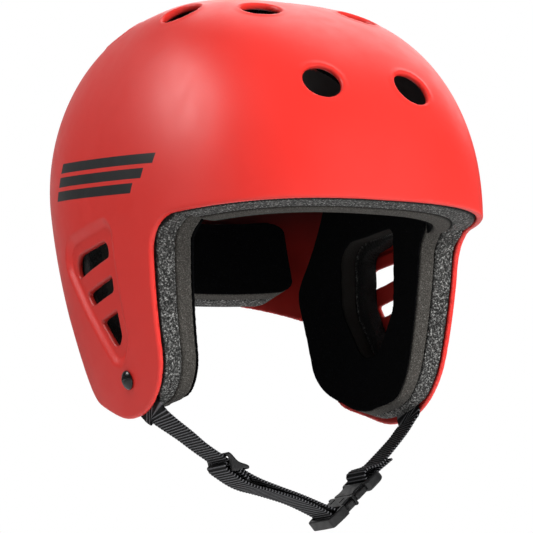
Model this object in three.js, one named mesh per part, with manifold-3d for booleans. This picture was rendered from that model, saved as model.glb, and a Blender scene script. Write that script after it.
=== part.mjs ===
// Full-cut water helmet: a moulded shell with ear flaps, two-stage foam pads faced
// with fleece, and a riveted webbing chin strap with a tri-glide and a side-release buckle.
// Millimetres. +Z is up, -Y is the wearer's front, +X is the wearer's left.
// The origin is on the mid plane, level with the widest point of the dome.
import * as THREE from 'three';
import { mergeVertices } from 'three/addons/utils/BufferGeometryUtils.js';
import Module from 'manifold-3d';

const wasm = await Module();
wasm.setup();

// ---- driving dimensions ------------------------------------------------------------
const GAP = 0.3; // between pieces that touch
const LEFT = 1;
const RIGHT = -1;

// dome: superellipse sections, half width, front and back reach from a leaning centre line
const HALF_WIDTH = 110;
const FRONT_REACH = 142;
const BACK_REACH = 126;
const CROWN_HEIGHT = 118;
const SECTION_POWER = 2.65;
const WIDTH_POWER = 3.2; // how square the dome is seen from the front
const LENGTH_POWER = 2; // and from the side
const WIDTH_TUCK = 0.093; // share lost 100 mm below the origin
const FRONT_TUCK = 0.31;
const BACK_TUCK = 0.08;
const CENTRE_Y = 8;
const CROWN_LEAN = -10;
const SHEAR = 0.146;
const DOME_BOTTOM = -150;
const DOME_COLUMNS = 32;
const DOME_ROWS_UP = 6;
const DOME_ROWS_DOWN = 4;

// layers, as depths below the outer surface
const SHELL_INNER = 4;
const FIRM = [6.6, 17];
const SOFT = [FIRM[1] + GAP, 27.4];
const FLEECE = [SOFT[1] + GAP, 29];
const CROWN_FIRM = [5, 13];
const CROWN_FLEECE = [CROWN_FIRM[1] + GAP, 14.6];
const REACH_X = 140; // half length of the prisms that cut outlines

// edges, seen from the side
const BROW_Z = -26;
const NAPE_Z = -47;
const FLAP_BOTTOM_Z = -131;

// vents: round holes at [half spacing, height or y]
const VENT_RADIUS = 11.5;
const VENT_CUT_DEPTH = 24;
const FRONT_VENT = [30, 43.6];
const REAR_VENT = [46, 30];
const TOP_VENTS = [[33, -60], [66, -25], [66, 42], [33, 78]];

// ear vent: a sunken rounded triangle with three slots and two bars
const RECESS_DEPTH = 1.6;
const RECESS_CORNERS = [[-8, -18, 11], [65, -24, 13], [5, -109, 11], [-10, -90, 12]];
const SLOT_CORNERS = [[2, -30, 6], [51, -34, 8], [7.5, -94, 5.5], [0.5, -86, 7]];
const SLOT_SLOPE = -0.16; // the bars fall toward the back
const BAR_HEIGHTS = [-45.2, -65.4]; // at y = 0
const BAR_WIDTH = 11;
const EAR_HOLE_CORNERS = [
  [-14, -16.5, 5], [42, -17.5, 10], [38, -60, 20], [16, -93, 12], [0, -91, 12], [-14, -66, 14],
];
const EAR_HOLE_STEP = 2; // the firm layer's hole is smaller

// chin strap
const WEB_WIDTH = 20;
const WEB_THICK = 1.4;
const STRAP_Y = -13;
const RIVET_SPOT = [-1.2, -111.5]; // y, z
const RIVET_HEAD_RADIUS = 5.6;
const RIVET_HEAD_HEIGHT = 3;
const SHANK_RADIUS = 2.4;
const WASHER_RADIUS = 6;
const TAB_DEPTHS = [SHELL_INNER + GAP, SHELL_INNER + GAP + WEB_THICK];
const TAB_HEADING = Math.atan2(-0.89, -0.45); // in the y, z plane
const TAB_ABOVE = 9;
const TAB_BELOW = 19.5;

// tri-glide, on a straight run of the webbing
const GLIDE_CENTRE = [-42.4, -161.1]; // x, z of the main layer at the glide
const GLIDE_SLOPE = THREE.MathUtils.degToRad(-31);
const GLIDE_HALF_LENGTH = 8.4;
const GLIDE_WIDTH = 27;
const GLIDE_BAR = 1.8;
const GLIDE_DIP_HALF = 3; // half length of the rails' lowest stretch
const FOLD_REACH = 4; // how far the folded end goes past the centre bar

// side-release buckle, tilted up toward the wearer's left
const BUCKLE_ORIGIN = [20, -195.7]; // x, z of the closed end of the socket
const BUCKLE_TILT = THREE.MathUtils.degToRad(40);
const BUCKLE_THICK = 6.4;
const SOCKET_LENGTH = 23;
const SOCKET_WIDTH = 26;
const WEB_BAR_U = 8.4;
const WEB_BAR_RADIUS = 1.3;
const PRONG_ROOT_U = 33;
const PLUG_END_U = 48;
const PLUG_WIDTH = 27;
const LADDER_BAR_U = 40.3;
const LADDER_BAR_RADIUS = 1.5;
const PRONG_INNER_V = 8;
const PRONG_OUTER_V = 10.8;
const WINDOW_U = [13.4, 20.8];
const TONGUE_START_U = 15;
const TONGUE_HALF = 3;

// ---- colours ------------------------------------------------------------------------
const paint = (color, roughness, metalness = 0) =>
  new THREE.MeshStandardMaterial({ color, roughness, metalness });
const SHELL_RED = paint(0xf04a3c, 0.42);
const FIRM_FOAM = paint(0x4a4a48, 0.95);
const SOFT_FOAM = paint(0x5a5752, 0.9);
const FLEECE_BLACK = paint(0x101114, 1);
const WEB_BLACK = paint(0x17171a, 0.8);
const PLASTIC_BLACK = paint(0x1a1a1b, 0.45);
const RIVET_BLACK = paint(0x0c0c0d, 0.25);
const WASHER_STEEL = paint(0x9a9a9a, 0.35, 1);

const helmet = new THREE.Group();

// ---- solids -------------------------------------------------------------------------
function solid(geometry) {
  const bare = geometry.index ? geometry.toNonIndexed() : geometry.clone();
  bare.deleteAttribute('normal');
  bare.deleteAttribute('uv');
  const merged = mergeVertices(bare, 1e-4);
  return new wasm.Manifold(new wasm.Mesh({
    numProp: 3,
    vertProperties: new Float32Array(merged.attributes.position.array),
    triVerts: new Uint32Array(merged.index.array),
  }));
}

function geometryOf(manifold) {
  const mesh = manifold.getMesh();
  const geometry = new THREE.BufferGeometry();
  geometry.setAttribute('position', new THREE.BufferAttribute(mesh.vertProperties, 3));
  geometry.setIndex(new THREE.BufferAttribute(mesh.triVerts, 1));
  geometry.computeVertexNormals();
  return geometry;
}

function place(parent, name, shape, material) {
  const geometry = shape.isBufferGeometry ? shape : geometryOf(shape);
  const mesh = new THREE.Mesh(geometry, material);
  mesh.name = name;
  parent.add(mesh);
  return mesh;
}

// a closed polygon whose corners [a, b, radius] are rounded with arcs
function roundedShape(corners) {
  const shape = new THREE.Shape();
  const count = corners.length;
  corners.forEach(([a, b, radius], i) => {
    const here = new THREE.Vector2(a, b);
    const before = new THREE.Vector2(...corners[(i + count - 1) % count].slice(0, 2));
    const after = new THREE.Vector2(...corners[(i + 1) % count].slice(0, 2));
    const back = before.sub(here).normalize();
    const on = after.sub(here).normalize();
    const half = Math.acos(THREE.MathUtils.clamp(back.dot(on), -1, 1)) / 2;
    const run = radius / Math.tan(half);
    const start = here.clone().addScaledVector(back, run);
    const centre = here.clone().addScaledVector(back.clone().add(on).normalize(), radius / Math.sin(half));
    const end = here.clone().addScaledVector(on, run);
    if (i === 0) shape.moveTo(start.x, start.y);
    else shape.lineTo(start.x, start.y);
    if (radius > 0) {
      const from = Math.atan2(start.y - centre.y, start.x - centre.x);
      const to = Math.atan2(end.y - centre.y, end.x - centre.x);
      shape.absarc(centre.x, centre.y, radius, from, to, back.cross(on) > 0);
    }
  });
  shape.closePath();
  return shape;
}

// the outline moved inward by a distance, with its corner radii kept in step
function insetCorners(corners, distance) {
  const count = corners.length;
  return corners.map(([a, b, radius], i) => {
    const here = new THREE.Vector2(a, b);
    const [pa, pb] = corners[(i + count - 1) % count];
    const [na, nb] = corners[(i + 1) % count];
    const into = new THREE.Vector2(a - pa, b - pb).normalize();
    const out = new THREE.Vector2(na - a, nb - b).normalize();
    const turn = (into.x * out.y - into.y * out.x) * Math.sign(signedArea(corners));
    here.addScaledVector(out.clone().sub(into), distance / turn);
    return [here.x, here.y, Math.max(1, radius - Math.sign(turn) * distance)];
  });
}

function signedArea(corners) {
  return THREE.ShapeUtils.area(corners.map(([a, b]) => new THREE.Vector2(a, b)));
}

// an outline seen from the side (y, z) pushed through from x0 to x1
function sidePrism(shape, x0 = -REACH_X, x1 = REACH_X, steps = 4) {
  const geometry = new THREE.ExtrudeGeometry(shape, {
    depth: x1 - x0, bevelEnabled: false, curveSegments: steps,
  });
  geometry.applyMatrix4(new THREE.Matrix4().makeBasis(
    new THREE.Vector3(0, 1, 0), new THREE.Vector3(0, 0, 1), new THREE.Vector3(1, 0, 0)));
  geometry.translate(x0, 0, 0);
  return solid(geometry);
}

// an outline seen from behind (x, z) pushed along y from y0 to y1
function frontPrism(shape, y0, y1, steps = 4) {
  const geometry = new THREE.ExtrudeGeometry(shape, {
    depth: y1 - y0, bevelEnabled: false, curveSegments: steps,
  });
  geometry.rotateX(Math.PI / 2);
  geometry.translate(0, y1, 0);
  return solid(geometry);
}

// an outline seen from above (x, y) pushed along z from z0 to z1
function plate(shape, z0, z1, steps = 3) {
  const geometry = new THREE.ExtrudeGeometry(shape, {
    depth: z1 - z0, bevelEnabled: false, curveSegments: steps,
  });
  geometry.translate(0, 0, z0);
  return solid(geometry);
}

function block(x0, x1, y0, y1, z0, z1) {
  const geometry = new THREE.BoxGeometry(x1 - x0, y1 - y0, z1 - z0);
  geometry.translate((x0 + x1) / 2, (y0 + y1) / 2, (z0 + z1) / 2);
  return solid(geometry);
}

// a round bar across the strap, at x, z
function crossBar(x, z, radius, halfSpan, sides = 12) {
  const geometry = new THREE.CylinderGeometry(radius, radius, 2 * halfSpan, sides);
  geometry.translate(x, 0, z);
  return solid(geometry);
}

// a webbing strap whose centre line is a curve in the x, z plane
function ribbon(curve, steps, width = WEB_WIDTH) {
  const centre = curve.getPoints(steps);
  const left = [];
  const right = [];
  centre.forEach((point, i) => {
    const a = centre[Math.max(0, i - 1)];
    const b = centre[Math.min(centre.length - 1, i + 1)];
    const along = b.clone().sub(a).normalize();
    const normal = new THREE.Vector2(-along.y, along.x).multiplyScalar(WEB_THICK / 2);
    left.push(point.clone().add(normal));
    right.unshift(point.clone().sub(normal));
  });
  return frontPrism(new THREE.Shape([...left, ...right]), STRAP_Y - width / 2, STRAP_Y + width / 2);
}

// ---- dome ---------------------------------------------------------------------------
function profile(z, reach, power, tuck, depth) {
  if (z < 0) return (reach - depth) * (1 - tuck * (z / 100) ** 2);
  return (reach - depth) * Math.max(0, 1 - (z / (CROWN_HEIGHT - depth)) ** 2) ** (1 / power);
}

function centreY(z) {
  return CENTRE_Y + CROWN_LEAN * THREE.MathUtils.clamp(z / CROWN_HEIGHT, 0, 1) ** 2 + SHEAR * z;
}

function domePoint(angle, z, depth) {
  const c = Math.cos(angle);
  const s = Math.sin(angle);
  const power = 2 / SECTION_POWER;
  const width = profile(z, HALF_WIDTH, WIDTH_POWER, WIDTH_TUCK, depth);
  const reach = s < 0
    ? profile(z, FRONT_REACH, LENGTH_POWER, FRONT_TUCK, depth)
    : profile(z, BACK_REACH, LENGTH_POWER, BACK_TUCK, depth);
  return new THREE.Vector3(
    width * Math.sign(c) * Math.abs(c) ** power,
    reach * Math.sign(s) * Math.abs(s) ** power + centreY(z),
    z,
  );
}

// the closed dome at a depth below the outer surface
function dome(depth) {
  const levels = [];
  for (let i = 0; i <= DOME_ROWS_DOWN; i += 1) {
    levels.push((DOME_BOTTOM - depth) * (1 - i / DOME_ROWS_DOWN));
  }
  for (let i = 1; i < DOME_ROWS_UP; i += 1) {
    levels.push((CROWN_HEIGHT - depth) * Math.sin((i / DOME_ROWS_UP) * Math.PI / 2));
  }
  const points = [];
  for (const z of levels) {
    for (let j = 0; j < DOME_COLUMNS; j += 1) {
      points.push(domePoint((j / DOME_COLUMNS) * 2 * Math.PI, z, depth));
    }
  }
  const bottom = points.push(new THREE.Vector3(0, centreY(levels[0]), levels[0])) - 1;
  const crown = points.push(new THREE.Vector3(0, centreY(CROWN_HEIGHT), CROWN_HEIGHT - depth)) - 1;
  const index = [];
  for (let j = 0; j < DOME_COLUMNS; j += 1) {
    const next = (j + 1) % DOME_COLUMNS;
    index.push(bottom, next, j);
    for (let i = 0; i < levels.length - 1; i += 1) {
      const low = i * DOME_COLUMNS;
      const high = low + DOME_COLUMNS;
      index.push(low + j, low + next, high + next);
      index.push(low + j, high + next, high + j);
    }
    const top = (levels.length - 1) * DOME_COLUMNS;
    index.push(top + j, top + next, crown);
  }
  const geometry = new THREE.BufferGeometry();
  geometry.setAttribute('position', new THREE.BufferAttribute(
    new Float32Array(points.flatMap((p) => p.toArray())), 3));
  geometry.setIndex(index);
  return solid(geometry);
}

const layer = ([outer, inner]) => dome(outer).subtract(dome(inner));

// half width of a section at depth, at side-view position y, z
function halfWidthAt(y, z, depth) {
  const offset = y - centreY(z);
  const reach = offset < 0
    ? profile(z, FRONT_REACH, LENGTH_POWER, FRONT_TUCK, depth)
    : profile(z, BACK_REACH, LENGTH_POWER, BACK_TUCK, depth);
  const share = Math.min(1, Math.abs(offset) / reach) ** SECTION_POWER;
  return profile(z, HALF_WIDTH, WIDTH_POWER, WIDTH_TUCK, depth) * (1 - share) ** (1 / SECTION_POWER);
}

// a point of the outer surface on one side, with its outward normal
function sideSpot(side, y, z) {
  const x = halfWidthAt(y, z, 0);
  const slopeY = halfWidthAt(y + 0.5, z, 0) - halfWidthAt(y - 0.5, z, 0);
  const slopeZ = halfWidthAt(y, z + 0.5, 0) - halfWidthAt(y, z - 0.5, 0);
  return {
    point: new THREE.Vector3(side * x, y, z),
    normal: new THREE.Vector3(side, -slopeY, -slopeZ).normalize(),
  };
}

// a point of the outer surface above x, y
function topSpot(x, y) {
  const height = (px, py) => {
    let low = 0;
    let high = CROWN_HEIGHT;
    while (high - low > 1e-4) {
      const mid = (low + high) / 2;
      if (Math.abs(px) < halfWidthAt(py, mid, 0)) low = mid;
      else high = mid;
    }
    return low;
  };
  const slopeX = height(x + 0.5, y) - height(x - 0.5, y);
  const slopeY = height(x, y + 0.5) - height(x, y - 0.5);
  return {
    point: new THREE.Vector3(x, y, height(x, y)),
    normal: new THREE.Vector3(-slopeX, -slopeY, 1).normalize(),
  };
}

// a point of the outer surface at the front (end -1) or back (end 1)
function endSpot(end, x, z) {
  const reachAt = (px, pz) => {
    const width = profile(pz, HALF_WIDTH, WIDTH_POWER, WIDTH_TUCK, 0);
    const reach = end < 0
      ? profile(pz, FRONT_REACH, LENGTH_POWER, FRONT_TUCK, 0)
      : profile(pz, BACK_REACH, LENGTH_POWER, BACK_TUCK, 0);
    const share = (1 - (Math.abs(px) / width) ** SECTION_POWER) ** (1 / SECTION_POWER);
    return centreY(pz) + end * reach * share;
  };
  const slopeX = reachAt(x + 0.5, z) - reachAt(x - 0.5, z);
  const slopeZ = reachAt(x, z + 0.5) - reachAt(x, z - 0.5);
  return {
    point: new THREE.Vector3(x, reachAt(x, z), z),
    normal: new THREE.Vector3(-slopeX, 1, -slopeZ).multiplyScalar(end).normalize(),
  };
}

// a cylinder centred on a surface spot, along its normal
function drill({ point, normal }, radius, depth, sides = 14) {
  const geometry = new THREE.CylinderGeometry(radius, radius, 2 * depth, sides);
  geometry.applyQuaternion(new THREE.Quaternion().setFromUnitVectors(new THREE.Vector3(0, 1, 0), normal));
  geometry.translate(point.x, point.y, point.z);
  return solid(geometry);
}

// ---- shell --------------------------------------------------------------------------
const SHELL_CORNERS = [
  [-170, BROW_Z, 0],
  [-48, BROW_Z, 21],
  [-34, FLAP_BOTTOM_Z + 1, 40],
  [14, FLAP_BOTTOM_Z - 2, 50],
  [64, FLAP_BOTTOM_Z + 17, 30],
  [77, -65, 26],
  [123, NAPE_Z + 4.5, 20],
  [170, NAPE_Z + 7, 0],
  [170, 150, 0],
  [-170, 150, 0],
];

const rivetSpot = (side) => sideSpot(side, ...RIVET_SPOT);

function earSlots() {
  let slots = sidePrism(roundedShape(SLOT_CORNERS));
  for (const height of BAR_HEIGHTS) {
    const far = 100;
    const drop = far * SLOT_SLOPE;
    const bar = new THREE.Shape([
      new THREE.Vector2(-far, height - drop - BAR_WIDTH / 2),
      new THREE.Vector2(far, height + drop - BAR_WIDTH / 2),
      new THREE.Vector2(far, height + drop + BAR_WIDTH / 2),
      new THREE.Vector2(-far, height - drop + BAR_WIDTH / 2),
    ]);
    slots = slots.subtract(sidePrism(bar, -REACH_X - 1, REACH_X + 1));
  }
  return slots;
}

function outerShell() {
  const skin = dome(-1).subtract(dome(RECESS_DEPTH));
  const recess = sidePrism(roundedShape(RECESS_CORNERS)).intersect(skin);
  let shell = layer([0, SHELL_INNER]);
  shell = shell.intersect(sidePrism(roundedShape(SHELL_CORNERS)));
  shell = shell.subtract(recess).subtract(earSlots());
  for (const side of [LEFT, RIGHT]) {
    const vents = [
      endSpot(-1, side * FRONT_VENT[0], FRONT_VENT[1]),
      endSpot(1, side * REAR_VENT[0], REAR_VENT[1]),
      ...TOP_VENTS.map(([x, y]) => topSpot(side * x, y)),
    ];
    for (const spot of vents) {
      shell = shell.subtract(drill(spot, VENT_RADIUS, VENT_CUT_DEPTH));
    }
    shell = shell.subtract(drill(rivetSpot(side), SHANK_RADIUS + GAP, VENT_CUT_DEPTH, 12));
  }
  place(helmet, 'outer_shell', shell, SHELL_RED);
}

// ---- pads ---------------------------------------------------------------------------
// each pad is a firm layer against the shell, a soft layer and a fleece facing
const PAD_LAYERS = [
  ['firm_foam', FIRM, 0, FIRM_FOAM],
  ['soft_foam', SOFT, 2.2, SOFT_FOAM],
  ['fleece', FLEECE, 4, FLEECE_BLACK],
];

const EAR_PAD_CORNERS = [
  [-62.5, 12, 2],
  [-62.5, -27, 3],
  [-47.5, -33.5, 9],
  [-34, FLAP_BOTTOM_Z + 5.5, 34],
  [14, FLAP_BOTTOM_Z + 0.5, 46],
  [55, FLAP_BOTTOM_Z + 21, 44],
  [76.5, -44, 34],
  [57, 16, 8],
];

function earPads(side, word) {
  const [x0, x1] = side < 0 ? [-REACH_X, -30] : [30, REACH_X];
  for (const [name, depths, inset, material] of PAD_LAYERS) {
    const outline = roundedShape(insetCorners(EAR_PAD_CORNERS, inset));
    const hole = roundedShape(insetCorners(EAR_HOLE_CORNERS, name === 'firm_foam' ? EAR_HOLE_STEP : 0));
    let pad = layer(depths).intersect(sidePrism(outline, x0, x1));
    pad = pad.subtract(sidePrism(hole, x0 - 1, x1 + 1));
    if (name === 'firm_foam') {
      const { point, normal } = rivetSpot(side);
      const pocket = { point: point.clone().addScaledVector(normal, -2), normal };
      pad = pad.subtract(drill(pocket, WASHER_RADIUS + 1, FIRM[0] + 1, 14));
    }
    place(helmet, `ear_pad_${word}_${name}`, pad, material);
  }
}

const BROW_PAD_CORNERS = [[-170, 18, 0], [-170, BROW_Z - 0.5, 0], [-63.5, BROW_Z - 0.5, 2], [-63.5, 18, 8]];
const BROW_SLOPE = 1.5; // the softer layers hang a little lower

function browPads() {
  PAD_LAYERS.forEach(([name, depths, , material], i) => {
    const corners = BROW_PAD_CORNERS.map(([y, z, r]) => [y, z < 0 ? z - i * BROW_SLOPE : z, r]);
    const pad = layer(depths).intersect(sidePrism(roundedShape(corners)));
    place(helmet, `brow_pad_${name}`, pad, material);
  });
}

const NAPE_PAD_CORNERS = [
  [-68, 8, 13], [-68, NAPE_Z + 1, 11], [68, NAPE_Z + 1, 11], [68, 8, 13],
];

function napePads() {
  for (const [name, depths, inset, material] of PAD_LAYERS) {
    const outline = roundedShape(insetCorners(NAPE_PAD_CORNERS, inset));
    place(helmet, `nape_pad_${name}`, layer(depths).intersect(frontPrism(outline, 40, 170)), material);
  }
}

// crown pads, seen from above
const CROWN_PADS = {
  centre: [[-17, -82, 12], [17, -82, 12], [17, 100, 12], [-17, 100, 12]],
  left: [[28, -40, 9], [42, -40, 9], [76, 6, 9], [76, 22, 9], [28, 58, 9]],
  right: [[-28, -40, 9], [-28, 58, 9], [-76, 22, 9], [-76, 6, 9], [-42, -40, 9]],
};

function crownPads() {
  for (const [word, corners] of Object.entries(CROWN_PADS)) {
    const firm = plate(roundedShape(corners), 20, 130);
    const facing = plate(roundedShape(insetCorners(corners, 1.5)), 20, 130);
    place(helmet, `crown_pad_${word}_firm_foam`, layer(CROWN_FIRM).intersect(firm), FIRM_FOAM);
    place(helmet, `crown_pad_${word}_fleece`, layer(CROWN_FLEECE).intersect(facing), FLEECE_BLACK);
  }
}

// ---- strap anchors ------------------------------------------------------------------
// turned profiles [radius, height] along the outward normal
const RIVET_PROFILE = [
  [0, -8.6], [3.8, -8.6], [3.8, -7.6], [SHANK_RADIUS, -7.6], [SHANK_RADIUS, 0.45],
  [RIVET_HEAD_RADIUS, 0.45], [RIVET_HEAD_RADIUS, 1.1], [4.4, 2.3], [2.4, RIVET_HEAD_HEIGHT],
  [0, RIVET_HEAD_HEIGHT + 0.2],
];
const WASHER_PROFILE = [
  [SHANK_RADIUS + GAP, -7.3], [WASHER_RADIUS, -7.3], [WASHER_RADIUS, -6.3],
  [SHANK_RADIUS + GAP, -6.3], [SHANK_RADIUS + GAP, -7.3],
];

function turned(profilePoints, { point, normal }, sides) {
  const outline = profilePoints.map(([r, h]) => new THREE.Vector2(r, h));
  const geometry = new THREE.LatheGeometry(outline, sides);
  geometry.applyQuaternion(new THREE.Quaternion().setFromUnitVectors(new THREE.Vector3(0, 1, 0), normal));
  geometry.translate(point.x, point.y, point.z);
  return solid(geometry);
}

function strapAnchor(side, word) {
  const [y, z] = RIVET_SPOT;
  const along = new THREE.Vector2(Math.cos(TAB_HEADING), Math.sin(TAB_HEADING));
  const across = new THREE.Vector2(-along.y, along.x).multiplyScalar(WEB_WIDTH / 2);
  const top = new THREE.Vector2(y, z).addScaledVector(along, -TAB_ABOVE);
  const low = new THREE.Vector2(y, z).addScaledVector(along, TAB_BELOW);
  const outline = new THREE.Shape([
    top.clone().add(across), top.clone().sub(across), low.clone().sub(across), low.clone().add(across),
  ]);
  const [x0, x1] = side < 0 ? [-REACH_X, -30] : [30, REACH_X];
  const tab = layer(TAB_DEPTHS).intersect(sidePrism(outline, x0, x1));
  const spot = rivetSpot(side);
  const hole = drill(spot, SHANK_RADIUS + GAP, VENT_CUT_DEPTH, 12);
  place(helmet, `anchor_tab_${word}`, tab.subtract(hole), WEB_BLACK);
  place(helmet, `rivet_${word}`, turned(RIVET_PROFILE, spot, 16), RIVET_BLACK);
  place(helmet, `rivet_washer_${word}`, turned(WASHER_PROFILE, spot, 16), WASHER_STEEL);
}

// ---- tri-glide frame ----------------------------------------------------------------
const glideAlong = new THREE.Vector2(Math.cos(GLIDE_SLOPE), Math.sin(GLIDE_SLOPE));
const glideUp = new THREE.Vector2(-glideAlong.y, glideAlong.x);

// x, z of a place given along the run and above it
function onGlide(along, above) {
  return new THREE.Vector2(...GLIDE_CENTRE)
    .addScaledVector(glideAlong, along)
    .addScaledVector(glideUp, above);
}

// the centre bar is under the main layer, inside a fold of webbing of this radius
const FOLD_RADIUS = GLIDE_BAR / 2 + GAP + WEB_THICK / 2;
const CENTRE_BAR_H = -(WEB_THICK + GAP + FOLD_RADIUS);
const OUTER_BAR_H = WEB_THICK / 2 + GAP + GLIDE_BAR / 2;
const FOLD_OVER_H = CENTRE_BAR_H + FOLD_RADIUS;
const FOLD_UNDER_H = CENTRE_BAR_H - FOLD_RADIUS;
const RETURN_END_U = 14; // where the returning strap meets the folded end
const RETURN_TURN = [46, 2.2]; // the returning strap's control point
const WEB_JOIN = 1.6;
const TAIL_END_U = 12.5;

function triGlide() {
  const group = new THREE.Group();
  group.position.set(GLIDE_CENTRE[0], STRAP_Y, GLIDE_CENTRE[1]);
  group.rotation.y = -GLIDE_SLOPE;
  const half = GLIDE_BAR / 2;
  const inside = WEB_WIDTH / 2 + 0.6;
  const reach = GLIDE_HALF_LENGTH;
  const bow = roundedShape([
    [-reach, OUTER_BAR_H + half, 0.8],
    [-reach, OUTER_BAR_H - half, 0.8],
    [-GLIDE_DIP_HALF, CENTRE_BAR_H - half, 3],
    [GLIDE_DIP_HALF, CENTRE_BAR_H - half, 3],
    [reach, OUTER_BAR_H - half, 0.8],
    [reach, OUTER_BAR_H + half, 0.8],
    [0, CENTRE_BAR_H + half + 2, 8],
  ]);
  let glide = frontPrism(bow, -GLIDE_WIDTH / 2, -inside, 3);
  glide = glide.add(frontPrism(bow, inside, GLIDE_WIDTH / 2, 3));
  const span = inside + 0.5;
  for (const end of [-1, 1]) {
    const near = end * (reach - GLIDE_BAR);
    const far = end * reach;
    glide = glide.add(block(Math.min(near, far), Math.max(near, far), -span, span,
      OUTER_BAR_H - half, OUTER_BAR_H + half));
  }
  glide = glide.add(crossBar(0, CENTRE_BAR_H, half, span));
  place(group, 'tri_glide', glide, PLASTIC_BLACK);
  helmet.add(group);
}

// ---- webbing ------------------------------------------------------------------------
const arc = (centre, radius, from, to, clockwise) =>
  new THREE.EllipseCurve(centre.x, centre.y, radius, radius, from, to, clockwise);

// a smooth line through points of the x, z plane
const smooth = (points) => new THREE.SplineCurve(points.map(([x, z]) => new THREE.Vector2(x, z)));

const buckleAlong = new THREE.Vector2(Math.cos(BUCKLE_TILT), Math.sin(BUCKLE_TILT));
const buckleUp = new THREE.Vector2(-buckleAlong.y, buckleAlong.x);

// x, z of a place given along the buckle and above it, on the wearer's side
function onBuckle(u, w) {
  return new THREE.Vector2(...BUCKLE_ORIGIN)
    .addScaledVector(buckleAlong, u)
    .addScaledVector(buckleUp, w);
}

const STRAP_START = [-82.5, -134.3];
const RUN_START_U = -15;
const RUN_START = onGlide(RUN_START_U, 0);
const RUN_END = onGlide(17, 0);
const BAR_WRAP = Math.PI * 1.06; // how far the strap turns round the buckle's bar

function rightUpperWebbing() {
  const end = onGlide(RUN_START_U - GAP, 0);
  const before = onGlide(-22, 0.2);
  const line = smooth([STRAP_START, [-68, -144.2], before.toArray(), end.toArray()]);
  place(helmet, 'webbing_right_upper', ribbon(line, 10), WEB_BLACK);
}

// from the tri-glide to the buckle's bar, round it and back
function rightLowerWebbing() {
  const bar = onBuckle(WEB_BAR_U, 0);
  const radius = WEB_BAR_RADIUS + GAP + WEB_THICK / 2;
  const arrive = bar.clone().sub(RUN_END);
  const heading = arrive.angle() - Math.asin(radius / arrive.length());
  const line = new THREE.CurvePath();
  const leaving = heading + Math.PI / 2;
  const touch = new THREE.Vector2(Math.cos(leaving), Math.sin(leaving)).multiplyScalar(radius).add(bar);
  line.add(new THREE.LineCurve(RUN_START, RUN_END));
  line.add(new THREE.LineCurve(RUN_END, touch));
  const off = leaving - BAR_WRAP;
  line.add(arc(bar, radius, leaving, off, true));
  const back = new THREE.Vector2(Math.cos(off), Math.sin(off)).multiplyScalar(radius).add(bar);
  const end = onGlide(RETURN_END_U, FOLD_UNDER_H);
  line.add(new THREE.QuadraticBezierCurve(back, onGlide(...RETURN_TURN), end));
  place(helmet, 'webbing_right_lower', ribbon(line, 5), WEB_BLACK);
}

// the strap's end, folded round the tri-glide's centre bar in a long loop
function foldedEnd() {
  const fold = onGlide(-FOLD_REACH, CENTRE_BAR_H);
  const line = new THREE.CurvePath();
  const tail = onGlide(TAIL_END_U, FOLD_OVER_H - 0.9);
  const bend = onGlide(1.5, FOLD_OVER_H);
  const over = onGlide(-FOLD_REACH, FOLD_OVER_H);
  const under = onGlide(-FOLD_REACH, FOLD_UNDER_H);
  const up = GLIDE_SLOPE + Math.PI / 2;
  line.add(new THREE.LineCurve(tail, bend));
  line.add(new THREE.LineCurve(bend, over));
  line.add(arc(fold, FOLD_RADIUS, up, up + Math.PI, false));
  line.add(new THREE.LineCurve(under, onGlide(RETURN_END_U - WEB_JOIN, FOLD_UNDER_H)));
  place(helmet, 'webbing_right_folded_end', ribbon(line, 5), WEB_BLACK);
}

// over the ladder bars, down, round the inner bar and back out under itself
function leftWebbing() {
  const bar = onBuckle(LADDER_BAR_U, 0);
  const radius = LADDER_BAR_RADIUS + GAP + WEB_THICK / 2;
  const line = new THREE.CurvePath();
  const rise = onBuckle(PLUG_END_U + 3, 3.3);
  const hump = onBuckle(LADDER_BAR_U + 2.2, 6.4);
  const left = onBuckle(LADDER_BAR_U - radius, 0);
  const right = onBuckle(LADDER_BAR_U + radius, 0);
  const sill = onBuckle(PLUG_END_U - 1, 1.2);
  const crest = onBuckle(LADDER_BAR_U - radius, 7.8);
  line.add(new THREE.QuadraticBezierCurve(rise, onBuckle(PLUG_END_U - 1.5, 5.2), hump));
  line.add(new THREE.QuadraticBezierCurve(hump, crest, left));
  line.add(arc(bar, radius, BUCKLE_TILT + Math.PI, BUCKLE_TILT + 2 * Math.PI, false));
  line.add(new THREE.QuadraticBezierCurve(right, onBuckle(LADDER_BAR_U + radius, 1.3), sill));
  line.add(new THREE.LineCurve(sill, onBuckle(PLUG_END_U + 12, 0.2)));
  place(helmet, 'webbing_left_lower', ribbon(line, 5), WEB_BLACK);
  const meet = onBuckle(PLUG_END_U + 3 + GAP, 3.2);
  const upper = smooth([[-STRAP_START[0], STRAP_START[1]], [75.8, -145.5], [61.1, -157.4], meet.toArray()]);
  place(helmet, 'webbing_left_upper', ribbon(upper, 12), WEB_BLACK);
}

// ---- buckle -------------------------------------------------------------------------
// local axes: x along the buckle from the socket's closed end, y across, z to the chin
const buckle = new THREE.Group();
buckle.position.set(BUCKLE_ORIGIN[0], STRAP_Y, BUCKLE_ORIGIN[1]);
buckle.rotation.y = -BUCKLE_TILT;

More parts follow.
